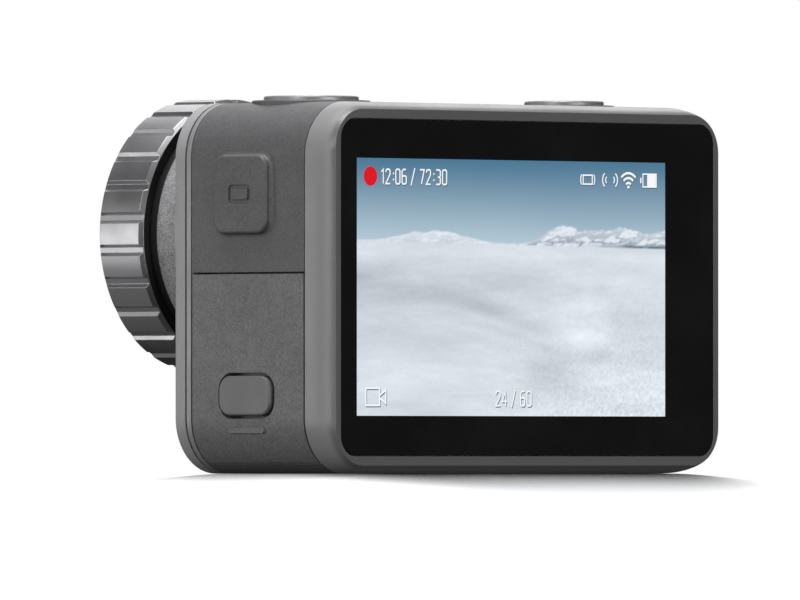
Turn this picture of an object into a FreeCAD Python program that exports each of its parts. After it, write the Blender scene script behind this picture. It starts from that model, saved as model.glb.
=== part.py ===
"""Compact action camera: a sealed body with a screw-on lens filter, two screens,
three buttons, a hinged port cover and a battery that slides out of the base.

Frame: +X towards the lens side, -Y out of the lens, +Z up, millimetres.
The origin is the middle of the base. Each piece is one node in parts/.
"""
import FreeCAD, Part
import math
import os

V = FreeCAD.Vector

# Body
BODY_WIDTH = 64.2
BODY_HEIGHT = 41.3
BODY_DEPTH = 24.1
CORNER_RADIUS = 6.2
WALL = 1.6
SEAM = 0.12            # open line between two housing pieces
TONGUE_INSET = 0.35    # how far the tongue behind a seam lies below the surface

# Shared small sizes
OVERCUT = 1.0          # how far a cut runs past the face that it opens
OUTSIDE = 5.0          # far enough to be clear of the wall being cut
SLOT_FLAT = 0.02       # straight length left at each end of a slot
STOP_GAP = 0.15        # left behind a side button or latch at the end of its travel
SOFT_EDGE = 0.25       # rounding of button plates and the port latch

# Front frame, trim band and rear bezel
FRAME_DEPTH = 1.7
FRAME_EDGE_RADIUS = 0.4
GROOVE_WIDTH = 0.25
BAND_DEPTH = 0.65
BEZEL_DEPTH = 3.9
BEZEL_INSET = 0.9      # how far the bezel draws in between its seam and its lip
BEZEL_LIP_CORNER = 4.3
BEZEL_SWEEP = 0.94     # share of a quarter ellipse that the bezel's curve takes
BEZEL_LEDGE = 0.8      # bezel left under the rear glass's gasket
BEZEL_SECTIONS = 6

# Rear screen
REAR_GLASS_SIZE = (60.6, 37.3)
REAR_GLASS_CORNER = 2.3
REAR_GLASS_THICKNESS = 0.9
REAR_SCREEN_SIZE = (50.2, 28.7)
REAR_SCREEN_OFFSET = (2.75, 0.05)
SCREEN_BORDER = 1.1
SCREEN_THICKNESS = 1.4
GASKET_THICKNESS = 0.2
GLASS_GAP = 0.08
PANEL_GAP = 0.2
WINDOW_CORNER = 0.8
PANEL_CORNER = 0.5

# Front screen
FRONT_GLASS_SIZE = (28.6, 31.0)
FRONT_GLASS_CORNER = 2.0
FRONT_GLASS_THICKNESS = 0.7
FRONT_SCREEN_SIZE = (25.4, 25.4)
FRONT_SCREEN_CENTRE = (-14.9, 20.65)
FRONT_WINDOW_CORNER = 0.6

# Lens and filter ring
LENS_SIDE = 14.45      # from the side of the body in to the lens axis
LENS_DROP = 14.55      # from the top of the body down to the lens axis
RING_WALL = 1.7        # from the lens boss out to the ring's facets
RING_FRONT = 11.3      # front of the ring ahead of the front frame
RING_LENGTH = 6.85
RING_FACETS = 26
RING_GROOVE_WIDTH = 1.0
RING_GROOVE_DEPTH = 0.34
RING_GROOVE_TAPER = 0.6    # how far a groove opens out towards the rim, per unit of depth
RING_GROOVE_FLOOR = 0.6    # width of a groove's floor as a share of its width at the rim
RING_CHAMFER = 0.42
RING_REBATE = (0.1, 0.25)  # width and depth of the step between the rear chamfer and rear face
RING_MOUTH_LIP = 0.35  # how far the ring laps over the filter glass
RING_MOUTH_DEPTH = 1.05
BOSS_RADIUS = 13.5
BOSS_WALL = 2.1
BOSS_FILLET = 1.0
BOSS_FLANGE_INSET = 0.15   # from the side of the body in to the flange's rim
BOSS_FLANGE_THICKNESS = 0.7
THREAD_CLEARANCE = 0.1
RUNNING_CLEARANCE = 0.05
FILTER_GLASS_INSET = 0.55  # from the boss's outer radius to the glass's
FILTER_GLASS_THICKNESS = 1.1
RETAINER_WIDTH = 1.0
RETAINER_THICKNESS = 0.9
RETAINER_MARGIN = 0.2  # how far the retainer reaches past the filter glass
FILTER_SEAL_THICKNESS = 0.25
FILTER_SEAL_INSET = 0.1
BARREL_GAP = 0.6       # between the boss's bore and the barrel's front
BARREL_RADIUS = 8.0
BARREL_WALL = 1.0
BARREL_FLANGE = 16.4
BARREL_REACH = 15.6    # from the front frame's face back to the sensor
BARREL_RECESS = 1.4    # front of the barrel behind the front of the boss
BARREL_LIP = 1.3       # how far the barrel's front lip reaches in
BARREL_SHOULDER = 0.6  # where the barrel starts to narrow, behind the front frame's face
BARREL_TAPER = 1.2
BARREL_BORE_TAPER = 2.0
BARREL_END_LIP = 1.5
BARREL_END_THICKNESS = 1.0
BARREL_PLATE_THICKNESS = 0.8
BARREL_PLATE_CORNER = 1.5
BARREL_PLATE_HOLE_LIP = 0.5
TRIM_RING_EDGE = 0.5
TRIM_RING_INSET = 0.2
SPACER_WALL = 2.5
SPACER_CORNER = 0.8

# Lens elements: thickness at the rim, bulge of the front face and of the back face
FRONT_ELEMENT = (1.8, 2.1, -1.6)
MIDDLE_ELEMENT = (0.8, 1.8, 1.4)
REAR_ELEMENT = (1.2, 0.9, -0.7)
FRONT_ELEMENT_INSET = 0.4   # its rim behind the front of the barrel
MIDDLE_ELEMENT_INSET = 4.0  # its rim behind the front frame's face
REAR_ELEMENT_INSET = 3.4    # its rim ahead of the back of the barrel

# Sensor
SENSOR_SIZE = (9.2, 7.6)
SENSOR_THICKNESS = 0.8
SENSOR_CORNER = 0.3
SENSOR_SCREW_RADIUS = 0.5
SENSOR_SCREW_INSET = 1.4
BOARD_THICKNESS = 0.8
BOARD_CORNER = 1.0

# Round top buttons: place, collar diameter, plate diameter
BUTTON_DEPTH = 13.2    # middle of the top and side controls, from the rear glass
RECORD_SIDE = 10.7     # from the lens side of the body in to the button
RECORD_COLLAR = 13.3
RECORD_PLATE = 10.6
RECORD_TRAVEL = 0.5
POWER_SIDE = 12.3      # from the other side in to the button
POWER_COLLAR = 11.4
POWER_PLATE = 9.0
POWER_TRAVEL = 0.4
COLLAR_RISE = 0.25
PLATE_RISE = 0.75
PLATE_THICKNESS = 0.9
COUNTERBORE_DEPTH = 0.75
COLLAR_EDGE = 0.2      # rounding of a collar's rim
STEM_RADIUS = 2.0
BUTTON_GAP = 0.15
SEAL_WIDTH = 1.2
SEAL_THICKNESS = 0.6
SEAL_DROP = 0.1        # top of a seal below the counterbore's floor
SWITCH_SIZE = 5.2
SWITCH_CORNER = 0.4
SWITCH_HEIGHT = 1.4
SWITCH_DROP = 1.4      # top of the top switches below the top wall
BRACKET_THICKNESS = 0.9
BRACKET_TIE = (-4.0, 6.0)  # x range of the bracket's tie to the inner plate
SWITCH_GAP = 0.1       # left over above a switch with its button fully in

# Quick switch on the lens side
QUICK_SIZE = (8.2, 8.7)
QUICK_CORNER = 1.5
QUICK_DROP = 10.3      # from the top of the body down to the middle of the switch
QUICK_RISE = 0.85
QUICK_THICKNESS = 1.4
QUICK_TRAVEL = 0.5
QUICK_STEM_RADIUS = 1.5
QUICK_EDGE = 0.3
QUICK_SWITCH_DROP = 1.6  # face of the dome switch inside the side wall
ICON_SIZE = (3.4, 2.1)
ICON_CORNER = 0.5
ICON_LINE = 0.45
ICON_DEPTH = 0.2

# Port cover
COVER_TOP = 22.15
COVER_WALL = 1.5
COVER_GAP = 0.2
COVER_END_GAP = 0.1    # at the cover's front and rear ends
COVER_END_ANGLE = 53.7  # where the cover stops on the lower corner, below level
PORT_DEPTH = 12.9       # middle of the ports and their latch, from the rear glass
PIN_RADIUS = 0.5
PIN_INSET = 0.85
PIN_DROP = 0.9
PIN_HOLE_DEPTH = 0.35
PIN_CLEARANCE = 0.03
PIN_BARREL_WALL = 0.5
HINGE_CLEARANCE = 0.12  # round the cover's corner as it swings
PORT_WALL_GAP = 0.35
PORT_WALL = 1.55
PORT_WALL_REACH = 3.0   # how far the inner port wall runs under the lower corner
PORT_WALL_RISE = 2.5    # how far it rises above the cover
LATCH_SIZE = (7.9, 4.4)
LATCH_CORNER = 1.6
LATCH_Z = 8.65
LATCH_GAP = 0.35
LATCH_RISE = 0.4
LATCH_TRAVEL = 0.4
LATCH_FLANGE = 0.5
LATCH_LIP = 0.75
LATCH_SEAT = 0.1        # between the latch's flange and the inside of the cover
LATCH_POCKET_GAP = 0.25
MARK_SIZE = (5.5, 0.65)
MARK_Z = 4.8
MARK_RISE = 0.09
COVER_GASKET_SIZE = (13.6, 7.2)
COVER_GASKET_WIDTH = 0.5
COVER_GASKET_THICKNESS = 0.3
COVER_GASKET_CORNER = 1.0

# Ports
USB_SIZE = (8.94, 3.16)
USB_LENGTH = 8.4
USB_WALL = 0.3
USB_BACK = 0.6
USB_INSET = 0.3         # mouth of the socket behind the face of the port wall
USB_TONGUE = (6.7, 0.7)
USB_TONGUE_INSET = 1.2
USB_TONGUE_CORNER = 0.3
USB_Z = 14.28
PORT_BOARD_THICKNESS = 0.54
CARD_SIZE = (15.0, 11.0, 1.0)
CARD_TRAVEL = 0.8
CARD_CLEARANCE = 0.1
CARD_CORNER = 0.15
CARD_PROUD = 0.2        # how far the seated card stands out of its slot
CARD_BACK_GAP = 0.2     # left behind the card when it is pushed in
CARD_MOUTH_GAP = 0.3
CARD_MOUTH_CORNER = 0.4
SLOT_WALL = 0.35
SLOT_BACK = 0.4
SLOT_CORNER = 0.3
SLOT_CAVITY_CORNER = 0.1

# Battery
BATTERY_SIZE = (24.0, 12.6, 28.6)
BATTERY_SIDE = 4.5      # from the side of the body to the battery
BATTERY_DEPTH = 13.35   # middle of the battery, from the rear glass
BATTERY_CORNER = 1.5
CAP_MARGIN = 0.8
CAP_THICKNESS = 1.5
CAP_BLOCK = 2.5
CAP_GAP = 0.15
BAY_CLEARANCE = 0.15
BAY_WALL = 0.7
BAY_HEADROOM = 0.5
BAY_CORNER_GROWTH = 0.8
BATTERY_SEAL_SIZE = 0.8
BATTERY_SEAL_LIFT = 0.5  # foot of the seal above the cap's plate
BATTERY_SEAL_BITE = 0.5  # how far the seal sits into the cap's block
BATTERY_LATCH_SIZE = (4.6, 8.0)
BATTERY_LATCH_CORNER = 0.8
BATTERY_LATCH_TRAVEL = 1.2
BATTERY_LATCH_EDGE = 1.0
RIDGE_COUNT = 3
RIDGE_PITCH = 1.1
RIDGE_SIZE = (0.5, 0.3)  # width and height of a thumb groove
RIDGE_MARGIN = 1.0       # from a groove's end to the pad's edge
LATCH_PAD_HEIGHT = 1.0
LATCH_PAD_RECESS = 0.3
LATCH_TONGUE_HEIGHT = 0.6
LATCH_TONGUE_SHIFT = 0.3   # towards the battery's end
LATCH_TONGUE_MARGIN = 1.2  # narrower than the pad on each side
LATCH_TONGUE_CORNER = 0.4
CONTACT_COUNT = 4
CONTACT_PITCH = 2.4
CONTACT_SIZE = (1.2, 2.4, 0.3)
CONTACT_PIN_RADIUS = 0.4
CONTACT_PIN_GAP = 0.1

# Inner plate and boards
CHASSIS_INSET = 3.6
CHASSIS_THICKNESS = 0.8
CHASSIS_DEPTH = 5.35    # its rear face, from the rear glass
SCREW_RADIUS = 0.7
SCREW_HEAD_RADIUS = 1.3
SCREW_HEAD_HEIGHT = 0.6
SCREW_LENGTH = 3.0
SCREW_MARGIN = 1.3       # from the inner plate's edge to a screw's middle
SCREW_SPACING = 9.0      # between the two lower screws
SCREW_CROSS = (1.6, 0.35, 0.25)  # length, width and depth of the cross in a head
SCREW_HEAD_GAP = 0.3
POST_RADIUS = 2.0
POST_LENGTH = 2.9
POST_RIB = 2.0
STANDOFF_RADIUS = 1.2
STANDOFF_SHIFT = 4.5     # from a screw towards the middle
MAIN_BOARD_GAP = 0.5
MAIN_BOARD_MARGIN = 1.2
PROCESSOR_SIZE = (13.0, 13.0, 0.7)
PROCESSOR_CENTRE = (2.0, 16.0)
PROCESSOR_CORNER = 0.3
SHIELD_MARGIN = 1.2
SHIELD_WALL = 0.2
SHIELD_CORNER = 0.6
SPEAKER_SIZE = (1.0, 9.0, 13.0)
SPEAKER_Z = 16.0
SPEAKER_SLOTS = 5
SPEAKER_SLOT_PITCH = 1.9
SPEAKER_SLOT = (6.0, 0.8)
MICROPHONE_SIZE = (3.5, 2.65, 1.0)
MICROPHONE_XS = (-2.6, 5.4)
MICROPHONE_HOLE = 0.45
MICROPHONE_PORT_DEPTH = 0.4
LIGHT_RADIUS = 0.9
LIGHT_HEIGHT = 38.2

# Places worked out from the sizes above
REAR = BODY_DEPTH / 2
FRONT = -BODY_DEPTH / 2
HALF_WIDTH = BODY_WIDTH / 2
MIDDLE_Z = BODY_HEIGHT / 2
CORNER_X = HALF_WIDTH - CORNER_RADIUS
FRAME_BACK = FRONT + FRAME_DEPTH
BAND_FRONT = FRAME_BACK + GROOVE_WIDTH
BAND_BACK = BAND_FRONT + BAND_DEPTH
HOUSING_FRONT = BAND_BACK + SEAM
BEZEL_FRONT = REAR - BEZEL_DEPTH
HOUSING_BACK = BEZEL_FRONT - SEAM
RING_FRONT_Y = FRONT - RING_FRONT
RING_BACK_Y = RING_FRONT_Y + RING_LENGTH
BUTTON_Y = REAR - BUTTON_DEPTH
PORT_Y = REAR - PORT_DEPTH
LENS_X = HALF_WIDTH - LENS_SIDE
LENS_Z = BODY_HEIGHT - LENS_DROP
RECORD_X = HALF_WIDTH - RECORD_SIDE
POWER_X = -HALF_WIDTH + POWER_SIDE
QUICK_Z = BODY_HEIGHT - QUICK_DROP
BATTERY_X = -HALF_WIDTH + BATTERY_SIDE + BATTERY_SIZE[0] / 2
BATTERY_Y = REAR - BATTERY_DEPTH
CHASSIS_BACK = REAR - CHASSIS_DEPTH
CHASSIS_FRONT = CHASSIS_BACK - CHASSIS_THICKNESS
PIN_X = HALF_WIDTH - PIN_INSET
PIN_Z = COVER_TOP - PIN_DROP
COVER_FACE = HALF_WIDTH - COVER_WALL
PORT_WALL_FACE = COVER_FACE - PORT_WALL_GAP
PORT_WALL_BACK = PORT_WALL_FACE - PORT_WALL
PORT_BOARD_Z = USB_Z + USB_SIZE[1] / 2
CARD_SLOT_Z = PORT_BOARD_Z + PORT_BOARD_THICKNESS
BAY_TOP = CAP_THICKNESS + CAP_BLOCK + BATTERY_SIZE[2] + BAY_HEADROOM
BARREL_BACK = FRONT + BARREL_REACH
RING_RADIUS = BOSS_RADIUS + RING_WALL
FILTER_GLASS_RADIUS = BOSS_RADIUS - FILTER_GLASS_INSET
RING_MOUTH_RADIUS = FILTER_GLASS_RADIUS - RING_MOUTH_LIP
BARREL_FRONT_RADIUS = BOSS_RADIUS - BOSS_WALL - BARREL_GAP


# Building blocks

def box(x_range, y_range, z_range):
    """Box between two values on each axis."""
    corner = V(x_range[0], y_range[0], z_range[0])
    sides = [high - low for low, high in (x_range, y_range, z_range)]
    return Part.makeBox(*sides, corner)


def centred_box(centre, size):
    """Box of the given size around a centre."""
    ranges = [(middle - side / 2, middle + side / 2) for middle, side in zip(centre, size)]
    return box(*ranges)


def place(axis, along, across, up):
    """Point from its distance along an axis and its two places across that axis."""
    order = {"x": (along, across, up), "y": (across, along, up), "z": (across, up, along)}
    return V(*order[axis])


def rounded_wire(axis, along, centre, size, radius):
    """Closed rounded rectangle across an axis."""
    reach = (size[0] / 2 - radius, size[1] / 2 - radius)
    arcs = []
    for quarter, signs in enumerate([(1, 1), (-1, 1), (-1, -1), (1, -1)]):
        points = []
        for step in (0, 45, 90):
            angle = math.radians(quarter * 90 + step)
            across = centre[0] + signs[0] * reach[0] + radius * math.cos(angle)
            up = centre[1] + signs[1] * reach[1] + radius * math.sin(angle)
            points.append(place(axis, along, across, up))
        arcs.append(points)
    edges = []
    for index, points in enumerate(arcs):
        edges.append(Part.Arc(*points).toShape())
        following = arcs[(index + 1) % 4][0]
        if points[2].distanceToPoint(following) > 1e-6:
            edges.append(Part.LineSegment(points[2], following).toShape())
    return Part.Wire(edges)


def end_radius(width):
    """Corner radius that makes a rounded rectangle of this width a slot with round ends."""
    return (width - SLOT_FLAT) / 2


def rounded_prism(axis, span, centre, size, radius):
    """Rounded rectangle drawn out along an axis between the two ends of span."""
    face = Part.Face(rounded_wire(axis, span[0], centre, size, radius))
    return face.extrude(place(axis, span[1] - span[0], 0, 0))


def rounded_frame(axis, span, centre, outer, inner, outer_radius, inner_radius):
    """Rounded prism with a rounded opening right through it."""
    solid = rounded_prism(axis, span, centre, outer, outer_radius)
    return solid.cut(rounded_prism(axis, span, centre, inner, inner_radius))


def cylinder(axis, span, centre, radius):
    """Cylinder along an axis between the two ends of span."""
    start = place(axis, span[0], *centre)
    return Part.makeCylinder(radius, span[1] - span[0], start, place(axis, 1, 0, 0))


def tube(axis, span, centre, outer, inner):
    """Round tube along an axis."""
    return cylinder(axis, span, centre, outer).cut(cylinder(axis, span, centre, inner))


def outline_prism(inset, span):
    """The body's outline, drawn in by inset, between two places in depth."""
    size = (BODY_WIDTH - 2 * inset, BODY_HEIGHT - 2 * inset)
    return rounded_prism("y", span, (0, MIDDLE_Z), size, CORNER_RADIUS - inset)


def outline_tube(outer_inset, inner_inset, span):
    """A wall that follows the body's outline."""
    return outline_prism(outer_inset, span).cut(outline_prism(inner_inset, span))


def about_lens(profile):
    """Solid of revolution about the lens axis from (radius, y) points and arcs.

    A three-point entry is an arc: (middle radius, middle y, end radius, end y).
    """
    edges = []
    start = V(LENS_X + profile[0][0], profile[0][1], LENS_Z)
    first = start
    for entry in profile[1:] + [profile[0]]:
        end = V(LENS_X + entry[-2], entry[-1], LENS_Z)
        if len(entry) == 4:
            middle = V(LENS_X + entry[0], entry[1], LENS_Z)
            edges.append(Part.Arc(start, middle, end).toShape())
        elif start.distanceToPoint(end) > 1e-6:
            edges.append(Part.LineSegment(start, end).toShape())
        start = end
    assert start.distanceToPoint(first) < 1e-6
    face = Part.Face(Part.Wire(edges))
    return face.revolve(V(LENS_X, 0, LENS_Z), V(0, 1, 0), 360)


def lens_element(radius, front, thickness, front_bulge, back_bulge):
    """Round glass from the depth of its front rim; a negative bulge at the back is hollow."""
    centre = (LENS_X, LENS_Z)
    back = front + thickness
    blank = cylinder("y", (front - front_bulge, back + max(back_bulge, 0)), centre, radius)
    for rim, bulge, side in ((front, front_bulge, -1), (back, back_bulge, 1)):
        ball_radius = (radius ** 2 + bulge ** 2) / (2 * abs(bulge))
        middle = rim + side * (bulge - math.copysign(ball_radius, bulge))
        ball = Part.makeSphere(ball_radius, V(LENS_X, middle, LENS_Z), V(1, 0, 0))
        blank = blank.common(ball) if bulge > 0 else blank.cut(ball)
    return blank


def fillet_where(solid, radius, test):
    """Round the edges whose bounding box passes a test."""
    return solid.makeFillet(radius, [edge for edge in solid.Edges if test(edge.BoundBox)])


# Housing

def front_frame():
    """Front plate with a rounded edge, a lens opening and a stepped screen window."""
    solid = outline_prism(0, (FRONT, FRAME_BACK))
    solid = fillet_where(solid, FRAME_EDGE_RADIUS, lambda bounds: bounds.YMax < FRONT + 0.01)
    arc_share = 1 - math.sqrt(0.5)
    arc_middle = (BOSS_RADIUS + arc_share * BOSS_FILLET, FRONT - arc_share * BOSS_FILLET)
    root = about_lens([
        (BOSS_RADIUS, FRONT),
        (BOSS_RADIUS, FRONT - BOSS_FILLET),
        (*arc_middle, BOSS_RADIUS + BOSS_FILLET, FRONT),
        (BOSS_RADIUS + BOSS_FILLET, FRONT + FRAME_DEPTH / 2),
        (BOSS_RADIUS, FRONT + FRAME_DEPTH / 2),
    ])
    solid = solid.fuse(root.common(outline_prism(0, (FRONT - BOSS_FILLET, FRAME_BACK))))
    solid = solid.cut(cylinder("y", (FRONT - OUTSIDE, FRAME_BACK), (LENS_X, LENS_Z), BOSS_RADIUS))
    ledge = FRONT + FRONT_GLASS_THICKNESS + GASKET_THICKNESS
    recess_size = [side + 2 * GLASS_GAP for side in FRONT_GLASS_SIZE]
    recess_span = (FRONT - OVERCUT, ledge)
    recess = rounded_prism("y", recess_span, FRONT_SCREEN_CENTRE, recess_size, FRONT_GLASS_CORNER)
    window_size = [side + 2 * PANEL_GAP for side in FRONT_SCREEN_SIZE]
    window = rounded_prism("y", (FRONT, FRAME_BACK), FRONT_SCREEN_CENTRE, window_size, FRONT_WINDOW_CORNER)
    light = cylinder("y", (FRONT, FRAME_BACK), (FRONT_SCREEN_CENTRE[0], LIGHT_HEIGHT), LIGHT_RADIUS)
    return solid.cut(recess).cut(window).cut(light).removeSplitter()


def trim_band():
    """Bright band between the groove and the side panels, with holes for the hinge pin."""
    band = outline_tube(0, WALL, (BAND_FRONT, BAND_BACK))
    tongue = outline_tube(TONGUE_INSET, WALL, (BAND_BACK, HOUSING_FRONT))
    pin = cylinder("y", (BAND_BACK - PIN_HOLE_DEPTH, HOUSING_FRONT), (PIN_X, PIN_Z), PIN_RADIUS)
    return band.fuse(tongue).removeSplitter().cut(pin)


def front_seal():
    """Dark seal that fills the groove between the front frame and the trim band."""
    return outline_tube(TONGUE_INSET, WALL, (FRAME_BACK, BAND_FRONT))


def cover_keep(top, end_angle, span):
    """The part of the outline that the port cover takes: below top, down round the corner."""
    far = HALF_WIDTH + OUTSIDE
    upright = box((CORNER_X - OVERCUT, far), span, (CORNER_RADIUS, top))
    drop = (far - CORNER_X) * math.tan(math.radians(end_angle))
    corner = V(CORNER_X, span[0], CORNER_RADIUS)
    level = V(far, span[0], CORNER_RADIUS)
    low = V(far, span[0], CORNER_RADIUS - drop)
    wedge = Part.Face(Part.makePolygon([corner, level, low, corner]))
    return upright.fuse(wedge.extrude(V(0, span[1] - span[0], 0)))


def cover_void():
    """Everything that the closed and swinging port cover takes out of the side wall."""
    span = (HOUSING_FRONT, HOUSING_BACK)
    gap_angle = math.degrees(COVER_GAP / CORNER_RADIUS)
    depth = COVER_WALL + PORT_WALL_GAP
    region = outline_prism(-OVERCUT, span).cut(outline_prism(depth, span))
    region = region.common(cover_keep(COVER_TOP + COVER_GAP, COVER_END_ANGLE + gap_angle, span))
    return region.fuse(cylinder("y", span, (PIN_X, PIN_Z), hinge_reach() + HINGE_CLEARANCE))


def hinge_reach():
    """How far the cover's square top corner reaches from the hinge pin's axis."""
    return math.hypot(PIN_INSET, PIN_DROP)


def button_bore(x, collar):
    """Counterbore, seal seat and stem hole of one round top button."""
    floor = BODY_HEIGHT - COUNTERBORE_DEPTH
    centre = (x, BUTTON_Y)
    counterbore = cylinder("z", (floor, BODY_HEIGHT + OVERCUT), centre, collar / 2 + RUNNING_CLEARANCE)
    seat = cylinder("z", (BODY_HEIGHT - WALL - OVERCUT, floor), centre, STEM_RADIUS + SEAL_WIDTH)
    return counterbore.fuse(seat)


def quick_bore():
    """Pocket, seal seat and stem hole of the quick switch."""
    size = [side + 2 * BUTTON_GAP for side in QUICK_SIZE]
    floor = HALF_WIDTH + QUICK_RISE - QUICK_THICKNESS - QUICK_TRAVEL - STOP_GAP
    centre = (BUTTON_Y, QUICK_Z)
    pocket = rounded_prism("x", (floor, HALF_WIDTH + OVERCUT), centre, size, QUICK_CORNER + BUTTON_GAP)
    seat = cylinder("x", (HALF_WIDTH - WALL - OVERCUT, floor), centre, QUICK_STEM_RADIUS + SEAL_WIDTH)
    return pocket.fuse(seat)


def screw_places():
    """Centres of the screws that hold the inner plate, in x and z."""
    top = BODY_HEIGHT - CHASSIS_INSET - SCREW_MARGIN
    low = CHASSIS_INSET + SCREW_MARGIN
    side = HALF_WIDTH - CHASSIS_INSET - SCREW_MARGIN
    bay_side = BATTERY_X + BATTERY_SIZE[0] / 2 + BAY_WALL + 2 * POST_RADIUS
    return [(-side, top), (side, top), (bay_side, low), (bay_side + SCREW_SPACING, low)]


def posts():
    """Screw posts on ribs from the top and bottom walls."""
    span = (CHASSIS_FRONT - POST_LENGTH, CHASSIS_FRONT)
    solids = []
    for x, z in screw_places():
        solids.append(cylinder("y", span, (x, z), POST_RADIUS))
        edge = BODY_HEIGHT - WALL / 2 if z > MIDDLE_Z else WALL / 2
        solids.append(box((x - POST_RIB / 2, x + POST_RIB / 2), span, (min(z, edge), max(z, edge))))
    return solids


def mid_housing():
    """Side, top and bottom walls, with the openings for buttons, ports, battery and sound."""
    span = (HOUSING_FRONT, HOUSING_BACK)
    solid = outline_tube(0, WALL, span)
    port_wall = outline_tube(WALL / 2, COVER_WALL + PORT_WALL_GAP + PORT_WALL, span)
    port_side = box((CORNER_X - PORT_WALL_REACH, HALF_WIDTH), span, (0, COVER_TOP + PORT_WALL_RISE))
    solid = solid.fuse(port_wall.common(port_side))
    solid = solid.cut(cover_void())
    wall_x = (PORT_WALL_BACK - OVERCUT, HALF_WIDTH)
    flange = [side + 2 * (LATCH_LIP + LATCH_POCKET_GAP) for side in LATCH_SIZE]
    latch_floor = latch_seat() - LATCH_FLANGE - LATCH_TRAVEL - STOP_GAP
    latch_x = (latch_floor, HALF_WIDTH)
    solid = solid.cut(rounded_prism("x", latch_x, (PORT_Y, LATCH_Z), flange, LATCH_CORNER))
    solid = solid.cut(rounded_prism("x", wall_x, (PORT_Y, USB_Z), USB_SIZE, end_radius(USB_SIZE[1])))
    card_z = CARD_SLOT_Z + SLOT_WALL + CARD_CLEARANCE + CARD_SIZE[2] / 2
    card_hole = [side + 2 * CARD_MOUTH_GAP for side in CARD_SIZE[1:]]
    solid = solid.cut(rounded_prism("x", wall_x, (PORT_Y, card_z), card_hole, CARD_MOUTH_CORNER))
    solid = solid.cut(button_bore(RECORD_X, RECORD_COLLAR))
    solid = solid.cut(button_bore(POWER_X, POWER_COLLAR))
    solid = solid.cut(quick_bore())
    cap_size = [side + 2 * CAP_MARGIN + 2 * CAP_GAP for side in BATTERY_SIZE[:2]]
    cap_centre = (BATTERY_X, BATTERY_Y)
    cap_corner = BATTERY_CORNER + CAP_MARGIN
    solid = solid.cut(rounded_prism("z", (-OVERCUT, CORNER_RADIUS), cap_centre, cap_size, cap_corner))
    for index in range(SPEAKER_SLOTS):
        offset = (index - (SPEAKER_SLOTS - 1) / 2) * SPEAKER_SLOT_PITCH
        centre = (BATTERY_Y, SPEAKER_Z + offset)
        slot_x = (-HALF_WIDTH - OVERCUT, -HALF_WIDTH + WALL + OVERCUT)
        slot = rounded_prism("x", slot_x, centre, SPEAKER_SLOT, end_radius(SPEAKER_SLOT[1]))
        solid = solid.cut(slot)
    for x in MICROPHONE_XS:
        hole_z = (BODY_HEIGHT - WALL, BODY_HEIGHT + OVERCUT)
        solid = solid.cut(cylinder("z", hole_z, (x, BUTTON_Y), MICROPHONE_HOLE))
    for post in posts():
        solid = solid.fuse(post)
    for x, z in screw_places():
        hole_y = (CHASSIS_FRONT - SCREW_LENGTH, CHASSIS_FRONT)
        solid = solid.cut(cylinder("y", hole_y, (x, z), SCREW_RADIUS))
    return solid.removeSplitter()


def rear_bezel():
    """Rear shell that curves in from its seam to a flat lip around the glass."""
    wires = []
    full_drop = 1 - math.sqrt(1 - BEZEL_SWEEP ** 2)
    for index in range(BEZEL_SECTIONS):
        share = index / (BEZEL_SECTIONS - 1)
        inset = BEZEL_INSET * (1 - math.sqrt(1 - (BEZEL_SWEEP * share) ** 2)) / full_drop
        radius = CORNER_RADIUS + (BEZEL_LIP_CORNER - CORNER_RADIUS) * inset / BEZEL_INSET
        size = (BODY_WIDTH - 2 * inset, BODY_HEIGHT - 2 * inset)
        along = BEZEL_FRONT + BEZEL_DEPTH * share
        wires.append(rounded_wire("y", along, (0, MIDDLE_Z), size, radius))
    solid = Part.makeLoft(wires, True)
    solid = solid.fuse(outline_prism(TONGUE_INSET, (HOUSING_BACK, BEZEL_FRONT)))
    ledge = REAR - REAR_GLASS_THICKNESS - GASKET_THICKNESS
    recess_size = [side + 2 * GLASS_GAP for side in REAR_GLASS_SIZE]
    recess = rounded_prism("y", (ledge, REAR + OVERCUT), (0, MIDDLE_Z), recess_size, REAR_GLASS_CORNER)
    window_size = [side + 2 * (SCREEN_BORDER + PANEL_GAP) for side in REAR_SCREEN_SIZE]
    window_span = (ledge - OVERCUT, ledge + OVERCUT)
    window = rounded_prism("y", window_span, rear_screen_centre(), window_size, WINDOW_CORNER)
    hollow = outline_prism(WALL, (HOUSING_BACK - OVERCUT, ledge - BEZEL_LEDGE))
    pin = cylinder("y", (HOUSING_BACK, BEZEL_FRONT + PIN_HOLE_DEPTH), (PIN_X, PIN_Z), PIN_RADIUS)
    return solid.cut(recess).cut(window).cut(hollow).cut(pin).removeSplitter()


def rear_screen_centre():
    """Middle of the rear screen in x and z."""
    return (REAR_SCREEN_OFFSET[0], MIDDLE_Z + REAR_SCREEN_OFFSET[1])


# Screens

def screen_stack(prefix, face, inward, centre, glass, corner, thickness, screen, screen_centre):
    """Cover glass, its gasket and the display panel behind it; inward is +1 or -1 in y."""
    def ordered(first, second):
        return (min(first, second), max(first, second))

    back = face + inward * thickness
    window = [side + 2 * PANEL_GAP for side in screen]
    gasket_span = ordered(back, back + inward * GASKET_THICKNESS)
    gasket = rounded_prism("y", gasket_span, centre, glass, corner)
    gasket = gasket.cut(rounded_prism("y", gasket_span, screen_centre, window, WINDOW_CORNER))
    panel_span = ordered(back, back + inward * SCREEN_THICKNESS)
    return {
        prefix + "_glass": rounded_prism("y", ordered(face, back), centre, glass, corner),
        prefix + "_glass_gasket": gasket,
        prefix + "_display": rounded_prism("y", panel_span, screen_centre, screen, PANEL_CORNER),
    }


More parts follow.
